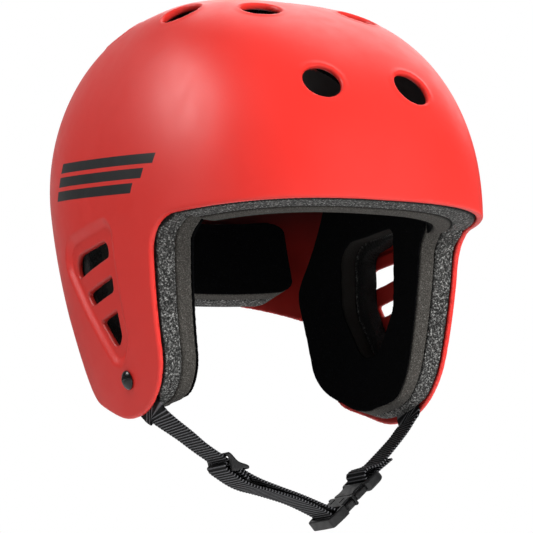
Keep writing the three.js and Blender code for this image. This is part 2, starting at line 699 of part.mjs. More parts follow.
function socket() {
  const half = SOCKET_WIDTH / 2;
  const thick = BUCKLE_THICK / 2;
  const outline = roundedShape([
    [0, -half + 1.5, 2], [0, half - 1.5, 2], [9, half, 4],
    [SOCKET_LENGTH, half, 1.2], [SOCKET_LENGTH, -half, 1.2], [9, -half, 4],
  ]);
  const slot = WEB_WIDTH / 2 + 0.6;
  let body = plate(outline, -thick, thick);
  body = body.subtract(block(2.2, 12.4, -slot, slot, -9, 9));
  body = body.add(crossBar(WEB_BAR_U, 0, WEB_BAR_RADIUS, slot + 0.5));
  for (const end of [-1, 1]) {
    const [inner, outer] = end < 0 ? [-20, -10] : [10, 20];
    body = body.subtract(block(...WINDOW_U, inner, outer, -9, 9));
  }
  body = body.subtract(block(WINDOW_U[0], SOCKET_LENGTH + 5, -11.2, 11.2, -2, 2));
  place(buckle, 'buckle_socket', body, PLASTIC_BLACK);
}

function plug() {
  const half = PLUG_WIDTH / 2;
  const thick = BUCKLE_THICK / 2;
  const slot = WEB_WIDTH / 2 + 0.8;
  const ladder = roundedShape([
    [PRONG_ROOT_U, -half, 2.5], [PLUG_END_U, -half, 4.5],
    [PLUG_END_U, half, 4.5], [PRONG_ROOT_U, half, 2.5],
  ]);
  let body = plate(ladder, -thick, thick);
  body = body.add(block(TONGUE_START_U, PRONG_ROOT_U + 1, -TONGUE_HALF, TONGUE_HALF, -1.6, 1.6));
  body = body.subtract(block(35.2, 45.6, -slot, slot, -9, 9));
  body = body.add(crossBar(LADDER_BAR_U, 0, LADDER_BAR_RADIUS, slot + 0.5));
  body = body.subtract(block(45, PLUG_END_U + 5, -slot, slot, 0.2, 9));
  place(buckle, 'buckle_plug', body, PLASTIC_BLACK);
}

function prong(side, word) {
  const tip = WINDOW_U[0] + 0.5;
  const shoulder = WINDOW_U[1] - 0.4;
  const outline = [
    [PRONG_ROOT_U - GAP, PRONG_INNER_V, 0.3],
    [PRONG_ROOT_U - GAP, 12.2, 0.6],
    [SOCKET_LENGTH + 1, 12.2, 1],
    [SOCKET_LENGTH + 0.6, PRONG_OUTER_V, 0.3],
    [shoulder, PRONG_OUTER_V, 0.3],
    [shoulder, 13.8, 0.5],
    [tip + 2, 13.2, 1.5],
    [tip, PRONG_OUTER_V, 0.8],
    [tip, PRONG_INNER_V + 0.4, 0.8],
  ].map(([u, v, r]) => [u, side * v, r]);
  place(buckle, `buckle_prong_${word}`, plate(roundedShape(outline), -1.7, 1.7, 3), PLASTIC_BLACK);
}

// ---- assembly -----------------------------------------------------------------------
outerShell();
browPads();
earPads(LEFT, 'left');
earPads(RIGHT, 'right');
napePads();
crownPads();
strapAnchor(LEFT, 'left');
strapAnchor(RIGHT, 'right');
rightUpperWebbing();
rightLowerWebbing();
foldedEnd();
leftWebbing();
triGlide();
socket();
plug();
prong(-1, 'front');
prong(1, 'rear');
helmet.add(buckle);

export default helmet;
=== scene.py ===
"""The water helmet's looks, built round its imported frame.

+Z is up, -Y is the wearer's front and +X the wearer's left. Shapes are worked out in
millimetres, from the same driving dimensions as the frame, and become metres in add_mesh.
"""
import math

import bpy
import numpy as np
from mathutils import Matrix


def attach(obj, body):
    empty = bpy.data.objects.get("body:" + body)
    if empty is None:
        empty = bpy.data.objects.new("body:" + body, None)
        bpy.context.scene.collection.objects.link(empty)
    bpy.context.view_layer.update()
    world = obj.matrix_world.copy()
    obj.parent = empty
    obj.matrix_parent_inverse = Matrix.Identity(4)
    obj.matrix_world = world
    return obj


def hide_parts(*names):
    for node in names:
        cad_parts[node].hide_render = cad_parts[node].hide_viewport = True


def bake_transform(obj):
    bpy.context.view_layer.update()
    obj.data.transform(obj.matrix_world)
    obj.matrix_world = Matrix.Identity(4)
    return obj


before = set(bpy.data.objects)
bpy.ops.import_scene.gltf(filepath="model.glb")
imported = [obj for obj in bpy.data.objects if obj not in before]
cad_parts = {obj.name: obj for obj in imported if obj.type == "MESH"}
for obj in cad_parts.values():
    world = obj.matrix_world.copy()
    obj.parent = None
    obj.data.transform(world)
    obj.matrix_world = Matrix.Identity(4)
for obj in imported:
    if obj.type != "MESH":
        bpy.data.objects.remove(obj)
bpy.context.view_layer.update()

import openvdb
from mathutils import Matrix, Vector

MM = 0.001
LEFT, RIGHT = 1, -1
SIDES = ((LEFT, "left"), (RIGHT, "right"))

# ---- driving dimensions, millimetres ----
HALF_WIDTH = 110.0
FRONT_REACH = 142.0
BACK_REACH = 126.0
CROWN_HEIGHT = 118.0
SECTION_POWER = 2.65
WIDTH_POWER = 3.2
WIDTH_TUCK = 0.093
FRONT_TUCK = 0.31
BACK_TUCK = 0.08
CENTRE_Y = 8.0
CROWN_LEAN = -10.0
SHEAR = 0.146

# Depths under the outer surface.
SHELL_THICK = 4.0
FIRM = (4.5, 17.0)
FIRM_BEHIND = 6.9  # outer face of the ear pads behind the strap
LEAN_FROM = 6.6  # the pads' edges lean in below this
SOFT = (17.3, 27.4)
FLEECE = (27.7, 29.0)
CROWN_FIRM = (5.0, 13.0)
CROWN_FLEECE = (13.2, 15.4)

BROW_Z = -26.0
NAPE_Z = -47.0
FLAP_BOTTOM_Z = -131.0
SHELL_CORNERS = [
    (-170, BROW_Z, 0), (-48, BROW_Z, 21), (-34, FLAP_BOTTOM_Z + 1, 40),
    (14, FLAP_BOTTOM_Z - 2, 50), (64, FLAP_BOTTOM_Z + 17, 30), (77, -65, 26),
    (123, NAPE_Z + 4.5, 20), (170, NAPE_Z + 7, 0), (170, 150, 0), (-170, 150, 0),
]

VENT_RADIUS = 11.5
VENT_ROLL = 1.9
FRONT_VENT = (30.0, 43.6)
REAR_VENT = (46.0, 30.0)
TOP_VENTS = ((33, -60), (66, -25), (66, 42), (33, 78))

RECESS_CORNERS = [(-8, -18, 11), (65, -24, 13), (5, -109, 11), (-10, -90, 12)]
RECESS_DEPTH = 3.0
SLOT_CORNERS = [(2, -30, 6), (51, -34, 8), (7.5, -94, 5.5), (0.5, -86, 7)]
SLOT_SLOPE = -0.16
BAR_HEIGHTS = (-45.2, -65.4)
BAR_WIDTH = 11.0
EAR_HOLE_CORNERS = [
    (-14, -16.5, 5), (42, -17.5, 13), (39, -60, 34), (16, -93, 15), (0, -91, 12), (-14, -66, 14),
]
EAR_HOLE_STEP = 2.0
EAR_PAD_CORNERS = [
    (-62.9, 12, 2), (-62.9, -27, 3), (-47.5, -33.5, 9), (-34, FLAP_BOTTOM_Z + 5.5, 34),
    (14, FLAP_BOTTOM_Z + 0.5, 46), (55, FLAP_BOTTOM_Z + 21, 44), (76.5, -44, 34), (57, 16, 8),
]
BROW_PAD_CORNERS = [(-170, 18, 0), (-170, BROW_Z - 0.5, 0), (-63.1, BROW_Z - 0.5, 2), (-63.1, 18, 8)]
NAPE_PAD_CORNERS = [(-68, 8, 13), (-68, NAPE_Z + 1, 11), (68, NAPE_Z + 1, 11), (68, 8, 13)]
CROWN_PADS = {
    "centre": [(-17, -82, 12), (17, -82, 12), (17, 100, 12), (-17, 100, 12)],
    "left": [(28, -40, 9), (42, -40, 9), (76, 6, 9), (76, 22, 9), (28, 58, 9)],
}
CROWN_PADS["right"] = [(-x, y, radius) for x, y, radius in reversed(CROWN_PADS["left"])]
RIVET_SPOT = (-1.2, -111.5)
RIVET_ROOM = 9.5  # radius of the hollow round a rivet in the firm foam

# Grid steps of the carved pieces.
SHELL_VOXEL, CROWN_VOXEL, PAD_STEP, GLIDE_VOXEL, BUCKLE_VOXEL = 1.5, 1.2, 1.5, 0.4, 0.38


# ---- camera and lights ----
CAMERA_AZIMUTH, CAMERA_ELEVATION, CAMERA_ROLL = -31.631, -9.296, 2.768
CAMERA_DISTANCE, CAMERA_LENS = 1876.6, 213.95
CAMERA_TARGET, CAMERA_SIDESTEP = (0, 10.0, -39.91), 4.754
LAMP_TARGET = (0, 0, -0.03)


def toward(azimuth, elevation):
    """The direction of a bearing in degrees, measured as a view's is."""
    a, e = math.radians(azimuth), math.radians(elevation)
    return Vector((math.sin(a) * math.cos(e), -math.cos(a) * math.cos(e), math.sin(e)))


def add_camera():
    azimuth, roll = math.radians(CAMERA_AZIMUTH), math.radians(CAMERA_ROLL)
    back = toward(CAMERA_AZIMUTH, CAMERA_ELEVATION)
    right = Vector((math.cos(azimuth), math.sin(azimuth), 0))
    up = back.cross(right)
    target = right * CAMERA_SIDESTEP + Vector(CAMERA_TARGET)
    tilted_right = right * math.cos(roll) - up * math.sin(roll)
    tilted_up = right * math.sin(roll) + up * math.cos(roll)
    data = bpy.data.cameras.new("camera")
    data.lens = CAMERA_LENS
    data.sensor_width = 36
    data.clip_end = 20
    camera = bpy.data.objects.new("camera", data)
    bpy.context.scene.collection.objects.link(camera)
    axes = Matrix((tilted_right, tilted_up, back)).transposed().to_4x4()
    camera.matrix_world = Matrix.Translation((target + back * CAMERA_DISTANCE) * MM) @ axes
    bpy.context.scene.camera = camera


def add_lamp(name, azimuth, elevation, distance, size, power, diffuse=True, glossy=True):
    """A soft square lamp aimed at the helmet, at a bearing like a view's."""
    away = toward(azimuth, elevation)
    data = bpy.data.lights.new(name, "AREA")
    data.size = size
    data.energy = power
    lamp = bpy.data.objects.new(name, data)
    lamp.location = away * distance + Vector(LAMP_TARGET)
    lamp.rotation_mode = "QUATERNION"
    lamp.rotation_quaternion = away.to_track_quat("Z", "Y")
    lamp.visible_diffuse = diffuse
    lamp.visible_glossy = glossy
    bpy.context.scene.collection.objects.link(lamp)


def add_world():
    """White air behind the helmet, which lights it only softly."""
    world = bpy.data.worlds.new("studio_air")
    world.use_nodes = True
    tree = world.node_tree
    ray = tree.nodes.new("ShaderNodeLightPath")
    for kind, strength in ((None, 0.13), ("Is Glossy Ray", 0.1), ("Is Camera Ray", 1.0)):
        shade = tree.nodes.new("ShaderNodeBackground")
        shade.inputs["Color"].default_value = (1, 1, 1, 1)
        shade.inputs["Strength"].default_value = strength
        if kind:
            choose = tree.nodes.new("ShaderNodeMixShader")
            for socket, source in enumerate((ray.outputs[kind], air.outputs[0], shade.outputs[0])):
                tree.links.new(source, choose.inputs[socket])
            shade = choose
        air = shade
    tree.links.new(air.outputs[0], tree.nodes["World Output"].inputs["Surface"])
    bpy.context.scene.world = world


add_camera()
add_world()
add_lamp("key", 22, 14, 2.0, 1.4, 40, glossy=False)
add_lamp("shoulder", -60, 54, 1.9, 1.0, 19, glossy=False)
add_lamp("side_sheen", -105, 42, 1.6, 0.8, 15, diffuse=False)
add_lamp("side_fill", -112, 30, 1.7, 0.8, 1.5)
add_lamp("back_left", 132, 45, 1.7, 1.5, 14)
add_lamp("back_right", 172, 24, 1.8, 1.2, 2)
bpy.context.scene.view_settings.view_transform = "Standard"


# ---- the dome ----
def centre_y(z):
    return CENTRE_Y + CROWN_LEAN * np.clip(z / CROWN_HEIGHT, 0, 1) ** 2 + SHEAR * z


def girth(z, depth, front):
    """The half width and the reach forward or back, at a height and a depth."""
    fall = (z / 100) ** 2
    roof = np.clip(1 - (np.maximum(z, 0) / (CROWN_HEIGHT - depth)) ** 2, 1e-9, 1)
    width = np.where(z < 0, 1 - WIDTH_TUCK * fall, roof ** (1 / WIDTH_POWER))
    reach = np.where(z < 0, 1 - np.where(front, FRONT_TUCK, BACK_TUCK) * fall, np.sqrt(roof))
    return (HALF_WIDTH - depth) * width, (np.where(front, FRONT_REACH, BACK_REACH) - depth) * reach


def depth_of(x, y, z, steps=22, low=-9.0, high=45.0):
    """How far below the outer surface points are, by halving the range that holds them."""
    offset = y - centre_y(z)
    across = np.abs(x) ** SECTION_POWER
    along = np.abs(offset) ** SECTION_POWER
    shape = np.broadcast(x, y, z).shape
    low = np.full(shape, low)
    high = np.full(shape, high)
    for _ in range(steps):
        depth = (low + high) / 2
        width, reach = girth(z, depth, offset < 0)
        inside = across * width ** -SECTION_POWER + along * reach ** -SECTION_POWER < 1
        low = np.where(inside, depth, low)
        high = np.where(inside, high, depth)
    return (low + high) / 2


def dome_point(bearing, z, depth):
    """A point at a bearing round the dome's centre line, a height and a depth."""
    c, s = np.cos(bearing), np.sin(bearing)
    width, reach = girth(z, depth, s < 0)
    share = (np.abs(c) / width) ** SECTION_POWER + (np.abs(s) / reach) ** SECTION_POWER
    radius = share ** (-1 / SECTION_POWER)
    return radius * c, radius * s + centre_y(z), z + 0 * radius


def half_width_at(y, z, depth):
    offset = y - centre_y(z)
    width, reach = girth(z, depth, offset < 0)
    share = min(1.0, abs(offset) / reach) ** SECTION_POWER
    return width * (1 - share) ** (1 / SECTION_POWER)


def spot_on(x, y, z, axis, way=1):
    """Moves a point along one axis to the outer surface, and gives its outward normal."""
    point = np.array([x, y, z], float)
    low, high = 0.0, 200.0 * way
    for _ in range(50):
        point[axis] = (low + high) / 2
        if depth_of(*point[:, None])[0] > 0:
            low = point[axis]
        else:
            high = point[axis]
    step = 0.5
    slope = [depth_of(*(point + step * e)[:, None])[0] - depth_of(*(point - step * e)[:, None])[0]
             for e in np.eye(3)]
    normal = -np.array(slope)
    return point, normal / np.linalg.norm(normal)


# ---- fields: distance-like, negative inside the material ----
def both(a, b, roll=0.0):
    """Where both are inside, with the edge between them rolled to a radius."""
    if roll == 0:
        return np.maximum(a, b)
    over_a = np.maximum(a + roll, 0)
    over_b = np.maximum(b + roll, 0)
    return np.minimum(np.maximum(a, b), -roll) + np.hypot(over_a, over_b)


def soft_join(a, b, reach):
    """Either body, with a fillet where they meet."""
    share = np.clip(0.5 + 0.5 * (b - a) / reach, 0, 1)
    return b * (1 - share) + a * share - reach * share * (1 - share) / 2


def slab(depth, low, high):
    return np.abs(depth - (low + high) / 2) - (high - low) / 2


def ease(t):
    t = np.clip(t, 0, 1)
    return t * t * (3 - 2 * t)


def inset(corners, distance):
    """A polygon of rounded corners moved inward, with its radii kept in step."""
    points = np.array([c[:2] for c in corners], float)
    before, after = np.roll(points, 1, 0), np.roll(points, -1, 0)
    turned = 1 if np.sum(before[:, 0] * points[:, 1] - points[:, 0] * before[:, 1]) > 0 else -1
    moved = []
    for corner, point, a, b in zip(corners, points, before, after):
        into = (point - a) / np.linalg.norm(point - a)
        out = (b - point) / np.linalg.norm(b - point)
        turn = into[0] * out[1] - into[1] * out[0]
        shift = (out - into) * distance / turn * turned
        radius = max(1.0, corner[2] - np.sign(turn) * turned * distance)
        moved.append((*(point + shift), radius))
    return moved


def rounded_line(corners, step=0.12):
    """The corner points of a closed outline whose corners are arcs, a step in radians apart."""
    line = []
    count = len(corners)
    for i, (a, b, radius) in enumerate(corners):
        here = np.array([a, b], float)
        back = np.array(corners[i - 1][:2]) - here
        on = np.array(corners[(i + 1) % count][:2]) - here
        back /= np.linalg.norm(back)
        on /= np.linalg.norm(on)
        if radius == 0:
            line.append(here)
            continue
        half = math.acos(max(-1, min(1, back @ on))) / 2
        bisector = (back + on) / np.linalg.norm(back + on)
        centre = here + bisector * radius / math.sin(half)
        start = here + back * radius / math.tan(half) - centre
        end = here + on * radius / math.tan(half) - centre
        sweep = math.atan2(start[0] * end[1] - start[1] * end[0], start @ end)
        steps = max(2, int(abs(sweep) / step) + 1)
        for k in range(steps + 1):
            turn = sweep * k / steps
            c, s = math.cos(turn), math.sin(turn)
            line.append(centre + (c * start[0] - s * start[1], s * start[0] + c * start[1]))
    return np.array(line)


class Outline:
    """Signed distance to a rounded outline in a plane, negative inside, read from a table."""

    MARGIN = 14.0
    STEP = 0.8
    REACH = 165.0

    def __init__(self, corners):
        line = rounded_line(corners)
        self.low = np.maximum(line.min(0), -self.REACH) - self.MARGIN
        high = np.minimum(line.max(0), self.REACH) + self.MARGIN
        a = np.arange(self.low[0], high[0] + self.STEP, self.STEP)[:, None]
        b = np.arange(self.low[1], high[1] + self.STEP, self.STEP)[None, :]
        nearest = np.full((a.size, b.size), 1e9)
        inside = np.zeros(nearest.shape, bool)
        for (ax, ay), (bx, by) in zip(line, np.roll(line, -1, 0)):
            dx, dy = bx - ax, by - ay
            share = np.clip(((a - ax) * dx + (b - ay) * dy) / (dx * dx + dy * dy + 1e-12), 0, 1)
            nearest = np.minimum(nearest, (a - ax - share * dx) ** 2 + (b - ay - share * dy) ** 2)
            if dy != 0:
                inside ^= ((ay > b) != (by > b)) & (a < dx * (b - ay) / dy + ax)
        self.table = np.sqrt(nearest) * np.where(inside, -1, 1)

    def __call__(self, a, b):
        size = np.array(self.table.shape) - 1
        i = np.clip((a - self.low[0]) / self.STEP, 0, size[0] - 1e-6)
        j = np.clip((b - self.low[1]) / self.STEP, 0, size[1] - 1e-6)
        i, j = np.broadcast_arrays(i, j)
        m, n = i.astype(int), j.astype(int)
        u, v = i - m, j - n
        t = self.table
        return ((1 - u) * (1 - v) * t[m, n] + u * (1 - v) * t[m + 1, n]
                + (1 - u) * v * t[m, n + 1] + u * v * t[m + 1, n + 1])


# ---- meshes ----
def add_mesh(name, points, quads, material, normals=None):
    """A smooth-shaded object from points in millimetres."""
    mesh = bpy.data.meshes.new(name)
    mesh.vertices.add(len(points))
    mesh.vertices.foreach_set("co", (np.asarray(points) * MM).astype(np.float32).ravel())
    mesh.loops.add(quads.size)
    mesh.loops.foreach_set("vertex_index", quads.astype(np.int32).ravel())
    mesh.polygons.add(len(quads))
    mesh.polygons.foreach_set("loop_start", np.arange(0, quads.size, quads.shape[1], dtype=np.int32))
    mesh.update(calc_edges=True)
    mesh.validate()
    mesh.shade_smooth()
    if normals is not None:
        mesh.normals_split_custom_set_from_vertices(normals)
    piece = bpy.data.objects.new(name, mesh)
    bpy.context.scene.collection.objects.link(piece)
    mesh.materials.append(material)
    return piece


def add_faces(name, points, faces, material):
    """As add_mesh, from faces of mixed size."""
    mesh = bpy.data.meshes.new(name)
    mesh.from_pydata([tuple(point) for point in np.asarray(points) * MM], [], faces)
    mesh.validate()
    mesh.shade_smooth()
    mesh.materials.append(material)
    piece = bpy.data.objects.new(name, mesh)
    bpy.context.scene.collection.objects.link(piece)
    return piece


def mark(piece, name, values):
    """Stores a number at each point for a material to read."""
    attribute = piece.data.attributes.new(name, "FLOAT", "POINT")
    attribute.data.foreach_set("value", values.astype(np.float32))


def facing_out(points, quads):
    a, b, c, d = (points[quads[:, k]] for k in range(4))
    volume = np.sum(np.cross(b - a, c - a) * a) + np.sum(np.cross(c - a, d - a) * a)
    return quads if volume > 0 else quads[:, ::-1]


def quads_of(values):
    grid = openvdb.FloatGrid(3.0)
    grid.copyFromArray(np.ascontiguousarray(values, dtype=np.float32))
    points, quads = grid.convertToQuads(0.0)
    return np.array(points, float), np.array(quads, int)


def settle(value, points, limit, rounds=2, step=0.05):
    """Moves points onto the zero surface of value(x, y, z), and gives the normals there."""
    for _ in range(rounds):
        here = value(*points.T)
        rise = np.array([(value(*(points + step * e).T) - here) / step for e in np.eye(3)]).T
        move = -here / np.maximum(np.sum(rise ** 2, 1), 0.05)
        points = points + rise * np.clip(move, -limit, limit)[:, None]
    return points, rise / np.maximum(np.linalg.norm(rise, axis=1, keepdims=True), 1e-6)


def carved(value, low, high, voxel):
    """The surface of value(x, y, z) between two corners, with its normals."""
    x, y, z = (np.arange(a - 2 * voxel, b + 2.5 * voxel, voxel) for a, b in zip(low, high))
    points, quads = quads_of(value(x[:, None, None], y[None, :, None], z[None, None, :]))
    points = points * voxel + (x[0], y[0], z[0])
    points, normals = settle(value, points, voxel / 2)
    return points, facing_out(points, quads), normals


class Block:
    """A symmetric grid of points with their depths, for fields cut out of the whole dome."""

    def __init__(self, half_x, low_y, high_y, low_z, high_z, voxel):
        self.voxel = voxel
        self.x = (np.arange(-int(half_x / voxel) - 1, int(half_x / voxel) + 1) + 0.5) * voxel
        self.y = np.arange(low_y, high_y, voxel)
        self.z = np.arange(low_z, high_z, voxel)
        right = self.x[self.x > 0]
        half = depth_of(right[:, None, None], self.y[None, :, None], self.z[None, None, :], steps=13)
        self.depth = np.concatenate([half[::-1], half])

    def surface(self, field, finish=True):
        values = field(self.x[:, None, None], self.y[None, :, None], self.z[None, None, :], self.depth)
        points, quads = quads_of(values)
        points = points * self.voxel + (self.x[0], self.y[0], self.z[0])
        if not finish:
            return points, facing_out(points, quads), None
        points, normals = settle(lambda x, y, z: field(x, y, z, depth_of(x, y, z)), points, self.voxel / 2)
        return points, facing_out(points, quads), normals


def wrapped_surface(field, bearings, heights, depths, step=1.5, thin=0.5):
    """The surface of a field on a grid that follows the dome: bearing, height and depth."""
    turn = step / HALF_WIDTH
    a = np.arange(bearings[0], bearings[1], turn)
    z = np.arange(heights[0], heights[1], step)
    t = np.arange(depths[0] - 2 * thin, depths[1] + 2.5 * thin, thin)
    x, y, level = dome_point(a[:, None, None], z[None, :, None], t[None, None, :])
    points, quads = quads_of(field(x, y, level, t[None, None, :]))
    points = points * (turn, step, thin) + (a[0], z[0], t[0])
    points = np.array(dome_point(*points.T)).T
    return points, facing_out(points, quads)


# ---- materials ----
class Paint:
    """A small helper that builds one material's nodes."""

    def __init__(self, name, roughness, specular=0.5):
        self.material = bpy.data.materials.new(name)
        self.material.use_nodes = True
        self.tree = self.material.node_tree
        self.shader = self.tree.nodes["Principled BSDF"]
        self.shader.inputs["Roughness"].default_value = roughness
        self.shader.inputs["Specular IOR Level"].default_value = specular
        self.place = self.add("ShaderNodeTexCoord").outputs["Object"]

    def add(self, kind, links=None, **values):
        node = self.tree.nodes.new(kind)
        for key, value in values.items():
            if hasattr(node, key):
                setattr(node, key, value)
            else:
                node.inputs[key.replace("_", " ")].default_value = value
        for key, source in (links or {}).items():
            self.tree.links.new(source, node.inputs[key])
        return node

    def noise(self, scale, detail=2.0, roughness=0.5):
        return self.add("ShaderNodeTexNoise", {"Vector": self.place},
                        Scale=scale, Detail=detail, Roughness=roughness).outputs["Fac"]

    def cells(self, scale):
        return self.add("ShaderNodeTexVoronoi", {"Vector": self.place}, Scale=scale).outputs["Distance"]

    def ramp(self, source, *stops):
        node = self.add("ShaderNodeValToRGB", {"Fac": source})
        elements = node.color_ramp.elements
        while len(elements) < len(stops):
            elements.new(0.5)
        for element, (position, colour) in zip(elements, stops):
            element.position = position
            element.color = (*colour, 1)
        return node.outputs["Color"]

    def feed(self, sockets, values):
        """Gives each socket a source, a number or a colour."""
        for socket, value in zip(sockets, values):
            if isinstance(value, bpy.types.NodeSocket):
                self.tree.links.new(value, socket)
            else:
                socket.default_value = (*value, 1) if isinstance(value, tuple) else value

    def math(self, operation, a, b=0.0):
        node = self.add("ShaderNodeMath", operation=operation)
        self.feed(node.inputs, (a, b))
        return node.outputs[0]

    def mix(self, share, a, b):
        node = self.add("ShaderNodeMix", data_type="RGBA")
        self.feed((node.inputs[0], node.inputs[6], node.inputs[7]), (share, a, b))
        return node.outputs[2]

    def mottle(self, scale, detail, low, high):
        """A noise that runs between two colours."""
        return self.ramp(self.noise(scale, detail), (0.3, low), (0.7, high))

    def rise(self, source, low, high):
        """0 at one value and 1 at another, held beyond them."""
        node = self.add("ShaderNodeMapRange", {"Value": source}, From_Min=low, From_Max=high)
        return node.outputs["Result"]

    def edge_step(self, distance, limit_mm):
        """1 below a distance, 0 above it."""
        return self.rise(distance, (limit_mm + 0.12) * MM, (limit_mm - 0.12) * MM)

    def mark(self, name):
        return self.add("ShaderNodeAttribute", attribute_name=name).outputs["Fac"]

    def colour(self, source):
        self.tree.links.new(source, self.shader.inputs["Base Color"])

    def rough(self, source):
        self.tree.links.new(source, self.shader.inputs["Roughness"])

    def bump(self, source, height_mm, strength=1.0):
        node = self.add("ShaderNodeBump", {"Height": source}, Strength=strength,
                        Distance=height_mm * MM)
        previous = self.shader.inputs["Normal"].links
        if previous:
            self.tree.links.new(previous[0].from_socket, node.inputs["Normal"])
        self.tree.links.new(node.outputs["Normal"], self.shader.inputs["Normal"])

    def set(self, **values):
        for key, value in values.items():
            self.shader.inputs[key.replace("_", " ")].default_value = value
        return self


STRIPE_HEIGHTS = (7.4, -0.8, -9.0)
STRIPE_THICK = 5.8
STRIPE_RISE = 0.13
STRIPE_FRONT, STRIPE_BACK = -51.0, 62.0
STRIPE_STEP = 7.0
STRIPE_SLANT = 0.5


def stripe_mask(paint):
    """1 on three plain slanted bars of growing setback on each side, 0 elsewhere."""
    parts = paint.add("ShaderNodeSeparateXYZ", {"Vector": paint.place}).outputs
    along = paint.math("ADD", parts["Y"], paint.math("MULTIPLY", parts["Z"], STRIPE_SLANT))
    behind = paint.math("SUBTRACT", parts["Y"], STRIPE_FRONT * MM)
    level = paint.math("SUBTRACT", parts["Z"], paint.math("MULTIPLY", behind, STRIPE_RISE))
    mask = 0.0
    for i, height in enumerate(STRIPE_HEIGHTS):
        off = paint.math("ABSOLUTE", paint.math("SUBTRACT", level, height * MM))
        bar = paint.edge_step(off, STRIPE_THICK / 2)
        middle = (STRIPE_FRONT + STRIPE_BACK) / 2 + STRIPE_STEP * i / 2
        half = (STRIPE_BACK - STRIPE_FRONT) / 2 - STRIPE_STEP * i / 2
        reach = paint.math("ABSOLUTE", paint.math("SUBTRACT", along, middle * MM))
        mask = paint.math("MAXIMUM", mask, paint.math("MULTIPLY", bar, paint.edge_step(reach, half)))
    return mask


def shell_paint():
    """Satin coral plastic, moulded, with three plain dark stripes on each side; its inner face is painted
    darker as painted shade, fading to near black high inside the dome.
    """
    paint = Paint("shell_satin", 0.4, 0.5)
    body = paint.mottle(14, 3, (0.79, 0.030, 0.022), (0.81, 0.032, 0.024))
    # painted shade: the inner face at under half the outer colour
    painted_shade_inside = paint.mottle(40, 3, (0.36, 0.014, 0.010), (0.42, 0.017, 0.012))
    inner = paint.mark("inner")
    height = paint.add("ShaderNodeSeparateXYZ", {"Vector": paint.place}).outputs["Z"]
    # painted shade: the inner face grows darker higher up, near black above 22 mm
    painted_shade_inside = paint.mix(paint.rise(height, -10 * MM, 22 * MM), painted_shade_inside, (0.012, 0.006, 0.006))
    stripe = paint.math("MULTIPLY", stripe_mask(paint), paint.math("SUBTRACT", 1.0, inner))
    paint.colour(paint.mix(inner, paint.mix(stripe, body, (0.013, 0.013, 0.014)), painted_shade_inside))
    paint.rough(paint.mottle(90, 3, (0.40,) * 3, (0.48,) * 3))
    paint.bump(paint.noise(700, 3), 0.02)
    paint.bump(paint.noise(60, 2), 0.05)
    return paint.material


def firm_foam_paint():
    """Coarse closed-cell foam: dark beads with pale flecks that are painted glints, a black skin outside,
    and the same black as painted shade on the ear holes' walls.
    """
    paint = Paint("firm_foam_beads", 0.8, 0.35)
    # the palest flecks are painted glints on the beads
    grain = paint.ramp(paint.noise(800, 3, 0.75), (0.38, (0.010, 0.010, 0.010)),
                       (0.50, (0.042, 0.042, 0.040)), (0.58, (0.15, 0.15, 0.145)),
                       (0.68, (0.5, 0.5, 0.48)))
    # black where marked: the moulded skin on the outer face, and painted shade on the ear holes' walls
    paint.colour(paint.mix(paint.mark("skin"), grain, (0.003, 0.003, 0.003)))
    paint.bump(paint.cells(800), 0.6)
    paint.bump(paint.noise(1600, 2), 0.3)
    return paint.material


def soft_foam_paint():
    """Finer, browner foam, dark on its outer face and, as painted shade, on the ear holes' walls."""
    paint = Paint("soft_foam_cells", 0.9, 0.3)
    grain = paint.ramp(paint.noise(1300, 3, 0.7), (0.3, (0.022, 0.020, 0.018)),
                       (0.5, (0.055, 0.051, 0.045)), (0.64, (0.11, 0.104, 0.095)),
                       (0.76, (0.34, 0.33, 0.3)))
    # dark where marked: the outer face, and painted shade on the ear holes' walls
    paint.colour(paint.mix(paint.mark("skin"), grain, (0.014, 0.0125, 0.011)))
    paint.bump(paint.cells(1500), 0.3)
    return paint.material


def fleece_paint():
    """Near-black brushed facing with a few pale fibres."""
    paint = Paint("fleece_brushed", 1.0, 0.05)
    paint.colour(paint.ramp(paint.noise(1500, 3, 0.7), (0.4, (0.0016, 0.0016, 0.0019)),
                            (0.64, (0.005, 0.0054, 0.006)), (0.76, (0.035, 0.04, 0.045))))
    paint.bump(paint.noise(900, 3, 0.8), 0.35)
    return paint.material


def webbing_paint():
    """Black polyester with a painted highlight along each rib's crest."""
    paint = Paint("webbing_ribbed", 0.7, 0.2)
    fuzz = paint.math("MULTIPLY", paint.noise(2600, 2), 0.16)
    # painted highlight: pale grey on each rib's crest
    painted_crest_highlight = paint.math("ADD", paint.mark("rib"), paint.math("SUBTRACT", fuzz, 0.08))
    paint.colour(paint.ramp(painted_crest_highlight, (0.55, (0.0015, 0.0015, 0.002)), (0.86, (0.006, 0.006, 0.007)),
                            (0.98, (0.15, 0.15, 0.16))))
    paint.bump(paint.noise(3000, 2), 0.12)
    return paint.material


def plastic_paint():
    """Moulded black acetal with a fine grain."""
    paint = Paint("buckle_acetal", 0.42, 0.5)
    paint.colour(paint.mottle(60, 2, (0.010, 0.010, 0.0105), (0.016, 0.016, 0.0165)))
    paint.rough(paint.mottle(300, 2, (0.34,) * 3, (0.5,) * 3))
    paint.bump(paint.noise(2200, 2), 0.06)
    return paint.material


def rivet_paint():
    paint = Paint("rivet_gloss", 0.16, 0.5)
    paint.colour(paint.mottle(120, 2, (0.006,) * 3, (0.010,) * 3))
    paint.bump(paint.noise(350, 2), 0.05)
    return paint.material


def washer_paint():
    paint = Paint("washer_zinc", 0.35, 0.5)
    paint.colour(paint.mottle(200, 3, (0.42, 0.42, 0.43), (0.55, 0.55, 0.56)))
    paint.bump(paint.noise(900, 2), 0.03)
    return paint.set(Metallic=1.0).material


FLOOR_Z, FLOOR_RADIUS = -420.0, 14000.0


